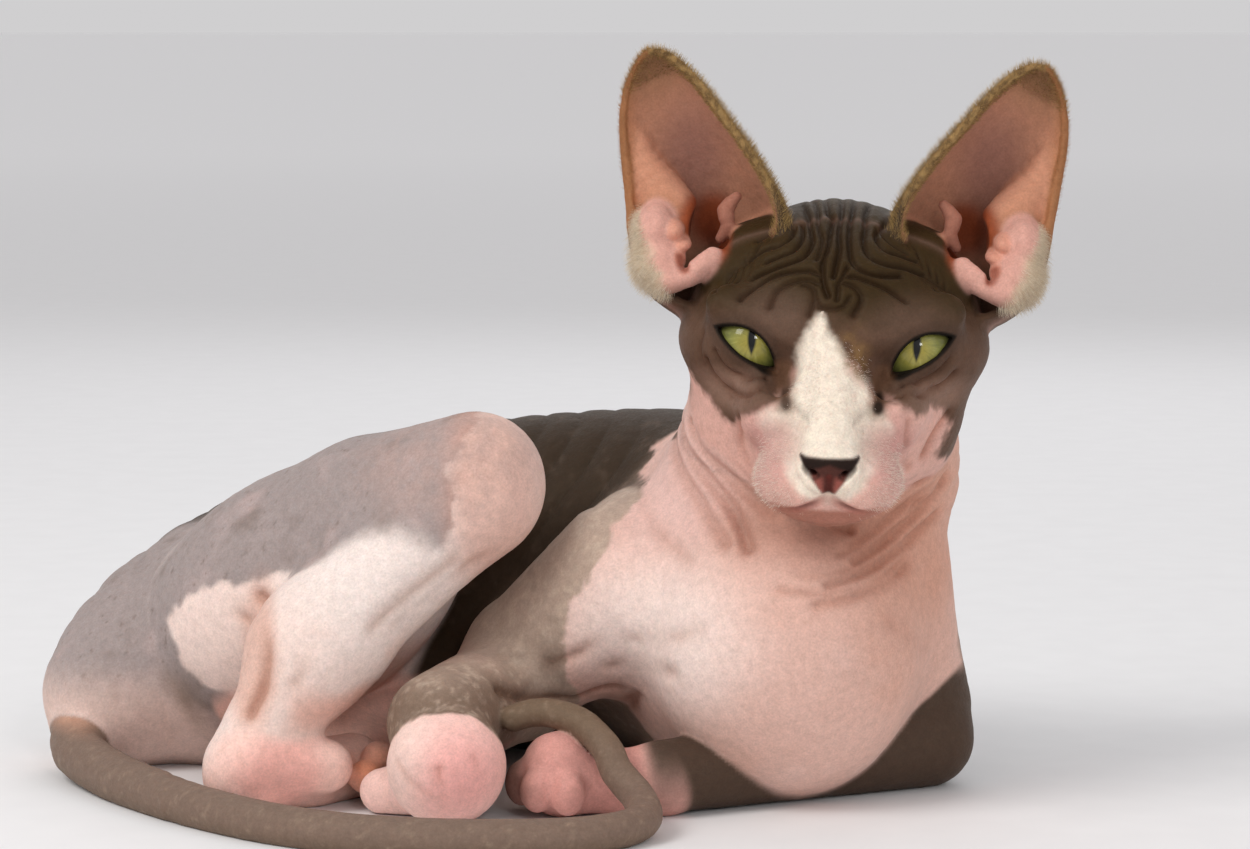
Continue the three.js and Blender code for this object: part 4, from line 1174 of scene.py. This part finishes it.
def mesh_of(name, points, faces, tones):
    """A mesh in metres from points in millimetres, with its colour at each point."""
    mesh = bpy.data.meshes.new(name)
    sides = faces.shape[1]
    mesh.vertices.add(points.shape[1])
    mesh.vertices.foreach_set("co", ((points - SHIFT[:, None]) * MM).T.astype(np.float32).ravel())
    mesh.loops.add(faces.size)
    mesh.loops.foreach_set("vertex_index", faces.astype(np.int32).ravel())
    mesh.polygons.add(len(faces))
    mesh.polygons.foreach_set("loop_start", np.arange(0, faces.size, sides, dtype=np.int32))
    mesh.polygons.foreach_set("use_smooth", np.full(len(faces), True))
    mesh.update(calc_edges=True)
    mesh.validate()
    tone = mesh.attributes.new("tone", "FLOAT_COLOR", "POINT")
    rgba = np.ones((points.shape[1], 4), np.float32)
    rgba[:, :3] = np.clip(tones, 0, 1).T
    tone.data.foreach_set("color", rgba.ravel())
    obj = bpy.data.objects.new(name, mesh)
    bpy.context.scene.collection.objects.link(obj)
    return obj


class Nodes:
    """A material's nodes, made by short calls."""

    def __init__(self, name):
        self.material = bpy.data.materials.new(name)
        self.material.use_nodes = True
        self.tree = self.material.node_tree
        self.shader = self.tree.nodes["Principled BSDF"]

    def add(self, kind, inputs=None, **settings):
        node = self.tree.nodes.new(kind)
        for key, value in settings.items():
            setattr(node, key, value)
        for key, value in (inputs or {}).items():
            self.put(node.inputs[key], value)
        return node

    def put(self, socket, value):
        if isinstance(value, bpy.types.NodeSocket):
            self.tree.links.new(value, socket)
        else:
            socket.default_value = value

    def set(self, **inputs):
        for key, value in inputs.items():
            self.put(self.shader.inputs[key.replace("_", " ")], value)


def speckled(n, tone, scale, low, high, detail=4):
    """The tone, darker and lighter by noise of one size."""
    place = n.add("ShaderNodeTexCoord").outputs["Object"]
    noise = n.add("ShaderNodeTexNoise",
        {"Vector": place, "Scale": scale, "Detail": detail, "Roughness": 0.6})
    level = n.add(
        "ShaderNodeMapRange", {"Value": noise.outputs["Fac"], 1: 0.3, 2: 0.7, 3: low, 4: high}
    ).outputs["Result"]
    grey = n.add("ShaderNodeCombineColor", {"Red": level, "Green": level, "Blue": level})
    return n.add(
        "ShaderNodeMix", {"Factor": 1.0, 6: tone,
            7: grey.outputs["Color"]}, data_type="RGBA", blend_type="MULTIPLY"
    ).outputs[2]


def skin_material():
    n = Nodes("bare_skin")
    tone = n.add("ShaderNodeAttribute", attribute_name="tone").outputs["Color"]
    tone = speckled(n, tone, 420, 0.92, 1.08, 3)
    tone = speckled(n, tone, 1700, 0.90, 1.08, 2)
    place = n.add("ShaderNodeTexCoord").outputs["Object"]
    grain = n.add("ShaderNodeTexNoise", {"Vector": place, "Scale": 1300, "Detail": 4, "Roughness": 0.65})
    lines = n.add("ShaderNodeTexVoronoi", {"Vector": place, "Scale": 520}, feature="DISTANCE_TO_EDGE")
    small = n.add("ShaderNodeBump", {"Strength": 0.30, "Distance": 0.0004, "Height": grain.outputs["Fac"]})
    creased = n.add(
        "ShaderNodeBump",
        {"Strength": 0.12, "Distance": 0.0005, "Height": lines.outputs["Distance"],
            "Normal": small.outputs["Normal"]},
    )
    rough = n.add("ShaderNodeMapRange", {"Value": grain.outputs["Fac"], 1: 0.3, 2: 0.7, 3: 0.50, 4: 0.66})
    n.set(Base_Color=tone, Roughness=rough.outputs["Result"], Normal=creased.outputs["Normal"])
    n.set(Subsurface_Weight=0.14, Subsurface_Scale=0.003, Specular_IOR_Level=0.16)
    n.set(Specular_Tint=(1.0, 0.86, 0.7, 1.0))
    n.set(Sheen_Weight=0.03, Sheen_Roughness=0.4)
    n.set(Subsurface_Radius=(1.0, 0.42, 0.28), Sheen_Tint=(0.9, 0.78, 0.66, 1.0))
    return n.material


# The plane through the nape where the two nets meet, and how far they lap
NAPE_PLACE = np.array((52, 40, 100.0))
NAPE_NORMAL = unit((0, -0.3, 0.95))
SEAM_LEFT = -10
SEAM_LAP = 0.8
# The skin's fine unevenness, and how much a crease darkens red, green and blue
UNEVEN_HEIGHT = 0.12
UNEVEN_SIZE = 2.6
CREASE_FULL = 1.2
CREASE_SHADE = np.array([[0.34], [0.46], [0.52]])
WAVE_SHADE = 0.10


def skin():
    """The whole hide in one mesh: a finer net for the head and ears, a plainer one for the rest."""

    def ahead(m):
        return NAPE_NORMAL @ (m - NAPE_PLACE[:, None])

    def on_head(m):
        return (ahead(m) > -SEAM_LAP) & (m[0] > SEAM_LEFT)

    def on_body(m):
        return (ahead(m) < 0) | (m[0] < SEAM_LEFT + SEAM_LAP)

    head_net = net(cat_form, *HEAD_BOX, HEAD_CELL, on_head)
    body_net = net(cat_form, *BODY_BOX, BODY_CELL, on_body)
    all_points, all_quads, all_tones = [], [], []
    start = 0
    for (points, quads), cell in ((head_net, HEAD_CELL), (body_net, BODY_CELL)):
        points, slope = evened(points, quads, cat_form, cell)
        normal = slope / np.maximum(np.sqrt((slope**2).sum(0)), 1e-6)
        q = to_head(points)
        d = part_distances(points)
        press = crease_field(points, q)
        wave = flank_folds(points) * ramp(1, -1, d["trunk"]
            - np.minimum(d["thigh_right"], d["shank_right"]))
        tones = skin_tones(points, q, normal, d)
        deepened = np.clip(press / CREASE_FULL, 0, 1) * (0.6 + 0.4 * ramp(3, -3, d["head"] - d["trunk"]))
        shade = deepened[None] * CREASE_SHADE
        tones = tones * (1 - shade) * (1 + WAVE_SHADE * np.minimum(wave, 0))
        lift = UNEVEN_HEIGHT * cloudy(points, UNEVEN_SIZE, 81, 2)
        placed = points + normal * (wave + lift - press)
        placed[2] = np.maximum(placed[2], 0.0)
        if cell == HEAD_CELL:
            head_normal = normal
        all_points.append(placed)
        all_quads.append(quads + start)
        all_tones.append(tones)
        start += points.shape[1]
    piece = mesh_of("skin", np.concatenate(all_points, 1), np.concatenate(all_quads),
        np.concatenate(all_tones, 1))
    piece.data.materials.append(skin_material())
    return piece, all_points[0], head_normal


def down_cover(q):
    """Where short hair stands up from the head, how long it is, the way it leans and its two colours."""
    x, y, z = q
    s = np.sign(x)
    folded = np.stack([np.abs(x), y, z])
    height, _, turn, _, half, inner_edge, outer_edge = ear_place(q)
    ear = ramp(2.2, 0.6, ear_shell(folded)) * ramp(8, 14, z)
    up = np.stack([s * EAR_UP[0], np.full(len(x), EAR_UP[1]), np.full(len(x), EAR_UP[2])])
    inner = ear * ramp(5.5, 1.5, (turn + inner_edge) * half) * ramp(-4, 6, height)
    outer = ear * ramp(2.2, 0.8, (outer_edge - turn) * half) * ramp(18, 40, height)
    tip = ear * ramp(47, 53, height)
    lobe = ramp(2.2, 0.8, ear_rim(folded)) * ramp(47.5, 52.5, folded[0] + 0.5 * (22 - z)) * ramp(36, 28, y)
    muzzle = np.maximum.reduce([spot(q, (side * 10, -25, -26), (9, 12, 8), 0.5) for side in (-1, 1)])
    bridge = spot(q, (0, -20, -8), (9, 16, 12), 0.4) * ramp(-30, -26, y)
    nose = ramp(9, 11, np.abs(x) * 0.7 + np.abs(z + 25) + 4 * (y > -30)) * ramp(0.8, 2.0,
        np.minimum(*(m(q) for m in mouth_line)))
    flat = np.zeros(len(x))
    return [
        (np.maximum(inner, tip), 1.7, up * 0.5 + np.stack([-s * 0.25, flat - 0.35, flat]),
            ("CBAA6C", "7E6038"), 16.0),
        (outer, 1.0, up * 0.6, ("B57A48", "8A6238"), 4.0),
        (lobe, 1.9, np.stack([s * 0.3, flat - 0.3, flat - 0.6]), ("EADFCC", "CDB798"), 9.0),
        (np.maximum(muzzle, bridge) * nose, 0.75, np.stack([x / 22, flat + 0.3, flat - 0.5]),
            ("EFE3D6", "D9BFAE"), 5.0),
    ]


HAIR_SIDES = 3
HAIR_ROOT = 0.06
HAIR_SUNK = 0.15
UV_PATCH = 0.003
HAIR_LEVELS = (0.0, 0.5, 1.0)


def down_piece(name, places, normals, cell, sign):
    """Short hairs on one side of the head, each a three-sided blade bent along its lean."""
    rng = np.random.default_rng(7 + sign)
    q = to_head(places)
    chosen = []
    for mask, length, lean, (light, dark), density in down_cover(q):
        wanted = mask * (q[0] * sign > 0) * density * cell * cell * 1.0
        hits = (rng.random(q.shape[1]) < wanted).nonzero()[0]
        share = rng.random(len(hits))
        tone = linear(dark)[:, None] + (linear(light) - linear(dark))[:, None] * share
        long = length * (0.55 + 0.6 * rng.random(len(hits)))
        chosen.append((hits, long, (HEAD_AXES @ lean)[:, hits], tone))
    hits = np.concatenate([c[0] for c in chosen])
    long = np.concatenate([c[1] for c in chosen])
    lean = np.concatenate([c[2] for c in chosen], 1)
    tone = np.concatenate([c[3] for c in chosen], 1)
    count = len(hits)
    root = places[:, hits] + (rng.random((3, count)) - 0.5) * cell
    out = normals[:, hits] * 0.75 + (rng.random((3, count)) - 0.5) * 0.5
    side = np.cross(out, rng.random((3, count)) - 0.5, axis=0)
    side /= np.sqrt((side**2).sum(0))
    over = np.cross(out, side, axis=0)
    over /= np.sqrt((over**2).sum(0))
    rows = []
    for level in HAIR_LEVELS:
        middle = root + (out * level + lean * level * level) * long - normals[:, hits] * HAIR_SUNK
        for k in range(HAIR_SIDES):
            a = 2 * math.pi * k / HAIR_SIDES
            wide = HAIR_ROOT * (1.0 - 0.85 * level)
            rows.append(middle + (side * math.cos(a) + over * math.sin(a)) * wide)
    points = np.stack(rows, 2).reshape(3, -1)
    per = len(rows)
    faces = []
    for level in range(len(HAIR_LEVELS) - 1):
        for k in range(HAIR_SIDES):
            a, b = level * HAIR_SIDES + k, level * HAIR_SIDES + (k + 1) % HAIR_SIDES
            faces += [(a, b, b + HAIR_SIDES), (a, b + HAIR_SIDES, a + HAIR_SIDES)]
    last = (len(HAIR_LEVELS) - 1) * HAIR_SIDES
    faces.append(tuple(last + k for k in range(HAIR_SIDES)))
    faces = (np.arange(count)[:, None, None] * per + np.array(faces)).reshape(-1, 3)
    piece = mesh_of(name, points, faces, np.repeat(tone, per, 1))
    behind = (normals[1, hits] > 0) * 0.5
    u = 0.01 + behind + (q[0, hits] + 65) / 130 * 0.47
    v = 0.01 + (q[2, hits] + 45) / 125 * 0.96
    own_u = np.tile(np.tile(np.arange(HAIR_SIDES) / HAIR_SIDES, len(HAIR_LEVELS)), count)
    own_v = np.tile(np.repeat(HAIR_LEVELS, HAIR_SIDES), count)
    uv = np.stack([np.repeat(u, per) + own_u * UV_PATCH, np.repeat(v, per) + own_v * UV_PATCH], 1)
    layer = piece.data.uv_layers.new(name="OFBake")
    layer.data.foreach_set("uv", uv[faces.ravel()].astype(np.float32).ravel())
    piece.data.materials.append(down_material())
    return piece


def down_material():
    n = Nodes("down")
    tone = n.add("ShaderNodeAttribute", attribute_name="tone").outputs["Color"]
    n.set(Base_Color=speckled(n, tone, 900, 0.85, 1.15, 2), Roughness=0.6, Specular_IOR_Level=0.3)
    return n.material


EYE_BULGE = 0.7
EYE_BULGE_REACH = 0.62
SLIT_HALF_WIDTH = 0.85
SLIT_HALF_HEIGHT = 3.6


def eye(s, name):
    """An eyeball turned to the viewer: a slit pupil in a yellow-green iris under a clear bulge."""
    gaze = unit((-s * 0.02, -1, 0.36))
    side = unit(np.cross(gaze, (0, 0, 1)))
    up = np.cross(side, gaze)
    rings = 150
    round_steps = 200
    away = np.concatenate([np.linspace(0, 1.35, rings), np.linspace(1.4, math.pi, 24)])
    turn = np.arange(round_steps) * 2 * math.pi / round_steps
    a, t = np.meshgrid(away, turn, indexing="ij")
    bulge = EYE_BULGE * np.exp(-((a / EYE_BULGE_REACH) ** 4))
    radius = EYE_RADIUS - 0.1 + bulge
    u = np.sin(a) * np.cos(t)
    v = np.sin(a) * np.sin(t)
    local = radius * (u * side[:, None, None] + v * up[:, None, None] + np.cos(a) * gaze[:, None, None])
    points = from_head(local.reshape(3, -1) + np.array(eye_place(s))[:, None])
    rows = len(away)
    i, j = np.meshgrid(np.arange(rows - 1), np.arange(round_steps), indexing="ij")
    k = (j + 1) % round_steps
    quads = np.stack([i * round_steps + j, i * round_steps + k, (i + 1) * round_steps + k, (i + 1)
        * round_steps + j], -1)
    u_mm = (u * EYE_RADIUS).ravel()
    v_mm = (v * EYE_RADIUS).ravel()
    far = np.hypot(u_mm, v_mm)
    round_way = np.arctan2(v_mm, u_mm)
    fibre = cloudy(np.stack([np.cos(round_way) * 9, np.sin(round_way) * 9, far * 0.25]), 1.1, 91, 3)
    paint = Paint("6C6E36", u_mm.size)
    lay = paint.lay
    lay("848440", ramp(8.5, 3, far))
    lay("97883A", spot(np.stack([u_mm, v_mm + 1.6, u_mm * 0]), (0, 0, 0), (3.2, 3.4, 1), 0.9) * 0.85)
    lay("A9A55E", ramp(0.1, 0.8, fibre) * ramp(9, 4, far) * 0.5)
    lay("4E5228", ramp(0.0, -0.8, fibre) * 0.5)
    lay("3C4024", ramp(6.6, 9.2, far) * 0.8)
    lay("120D0B", ramp(9.6, 10.2, far))
    # Painted shadow of the upper lid across the top of the iris.
    lay("3A341E", ramp(0.2, 4.5, v_mm) * 0.6)
    slit = np.abs(u_mm) - SLIT_HALF_WIDTH * np.clip(1 - (v_mm / SLIT_HALF_HEIGHT) ** 2, -1, 1)
    lay("3A3A1C", ramp(0.55, 0.05, slit) * 0.7)
    lay("040404", ramp(0.12, -0.12, slit))
    piece = mesh_of(name, points, quads.reshape(-1, 4), paint.colour)
    n = Nodes(name)
    tone = n.add("ShaderNodeAttribute", attribute_name="tone").outputs["Color"]
    tone = speckled(n, tone, 900, 0.9, 1.1, 3)
    place = n.add("ShaderNodeTexCoord").outputs["Object"]
    ripple = n.add("ShaderNodeTexNoise", {"Vector": place, "Scale": 260, "Detail": 2})
    wet = n.add("ShaderNodeBump", {"Strength": 0.04, "Distance": 0.0003, "Height": ripple.outputs["Fac"]})
    n.set(Base_Color=tone, Roughness=0.35, Coat_Weight=0.55, Coat_Roughness=0.03, Specular_IOR_Level=0.1)
    n.put(n.shader.inputs["Coat Normal"], wet.outputs["Normal"])
    piece.data.materials.append(n.material)
    return piece


FLESH = [
    "chest", "belly", "rump", "neck", "head", "ear_right", "ear_left", "thigh_right", "shank_right",
    "foot_right", "thigh_left", "shank_left", "foot_left", "upper_arm_right", "forearm_right",
    "paw_right", "upper_arm_left", "forearm_left", "paw_left", "tail_root", "tail_middle", "tail_tip",
]

hide, head_points, head_normals = skin()
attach(hide, "root")
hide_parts(*FLESH)
for side_sign, side_name in ((-1, "right"), (1, "left")):
    ball = eye(side_sign, f"eyeball_{side_name}")
    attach(ball, "root")
    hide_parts(f"eye_{side_name}")
    down = down_piece(f"down_{side_name}", head_points, head_normals, HEAD_CELL, side_sign)
    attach(down, "root")


# Floor, light and camera; the floor grows as pale as the sky from near to far, in metres
FLOOR_PLAIN = 0.8
FLOOR_HAZY = 5.0


def floor_piece():
    mesh = bpy.data.meshes.new("floor")
    side = 60.0
    mesh.from_pydata([(-side, -side, 0), (side, -side, 0), (side, side, 0), (-side, side, 0)], [],
        [(0, 1, 2, 3)])
    piece = bpy.data.objects.new("floor", mesh)
    bpy.context.scene.collection.objects.link(piece)
    n = Nodes("floor")
    place = n.add("ShaderNodeTexCoord").outputs["Object"]
    noise = n.add("ShaderNodeTexNoise", {"Vector": place, "Scale": 60, "Detail": 4})
    tint = n.add("ShaderNodeValToRGB", {"Fac": noise.outputs["Fac"]})
    tint.color_ramp.elements[0].color = (0.79, 0.785, 0.79, 1)
    tint.color_ramp.elements[1].color = (0.84, 0.835, 0.84, 1)
    reach = n.add("ShaderNodeVectorMath", {0: place}, operation="LENGTH").outputs["Value"]
    far = n.add("ShaderNodeMapRange",
        {"Value": reach, 1: FLOOR_PLAIN, 2: FLOOR_HAZY, 3: 0.0, 4: 1.0}).outputs["Result"]
    shade = n.add("ShaderNodeMix", {"Factor": far, 6: tint.outputs["Color"], 7: (0.96, 0.955, 0.96, 1)},
        data_type="RGBA")
    n.set(Base_Color=shade.outputs[2], Roughness=0.8, Specular_IOR_Level=0.15)
    mesh.materials.append(n.material)
    return piece


def lamp(name, place, aim, size, power, colour=(1, 1, 1)):
    light = bpy.data.lights.new(name, "AREA")
    light.size = size
    light.energy = power
    light.color = colour
    obj = bpy.data.objects.new(name, light)
    obj.location = place
    way = np.array(aim, float) - np.array(place, float)
    obj.rotation_euler = Vector(way).to_track_quat("-Z", "Y").to_euler()
    bpy.context.scene.collection.objects.link(obj)


floor_piece()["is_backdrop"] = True
lamp("key", (-0.85, -0.75, 1.15), (0.0, 0.0, 0.08), 0.7, 11.5, (1, 0.985, 0.96))
lamp("fill", (1.1, -1.0, 0.6), (0.03, 0, 0.1), 1.2, 3, (1, 0.97, 0.95))
lamp("rear", (0.2, 1.1, 0.9), (0, 0, 0.1), 1.0, 2.5, (0.97, 0.98, 1))
lamp("glint", (0.28, -1.25, 0.62), (0.03, -0.04, 0.12), 0.16, 1.6)

world = bpy.data.worlds.new("studio")
world.use_nodes = True
world.node_tree.nodes["Background"].inputs["Color"].default_value = (0.9, 0.89, 0.9, 1)
world.node_tree.nodes["Background"].inputs["Strength"].default_value = 0.7
bpy.context.scene.world = world
bpy.context.scene.view_settings.view_transform = "Standard"

camera = bpy.data.cameras.new("camera")
camera.sensor_width = SENSOR
camera.lens = SENSOR * FOCAL_PIXELS / PHOTO_WIDTH
camera_object = bpy.data.objects.new("camera", camera)
camera_object.location = (np.array(CAMERA_PLACE) - SHIFT) * MM
camera_object.rotation_euler = (math.radians(90 - CAMERA_DOWN), 0, 0)
bpy.context.scene.collection.objects.link(camera_object)
bpy.context.scene.camera = camera_object


def corners(box):
    return [[float(v) for v in corner] for corner in box]


{"cad": corners(cad_box), "visual": corners(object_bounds())}
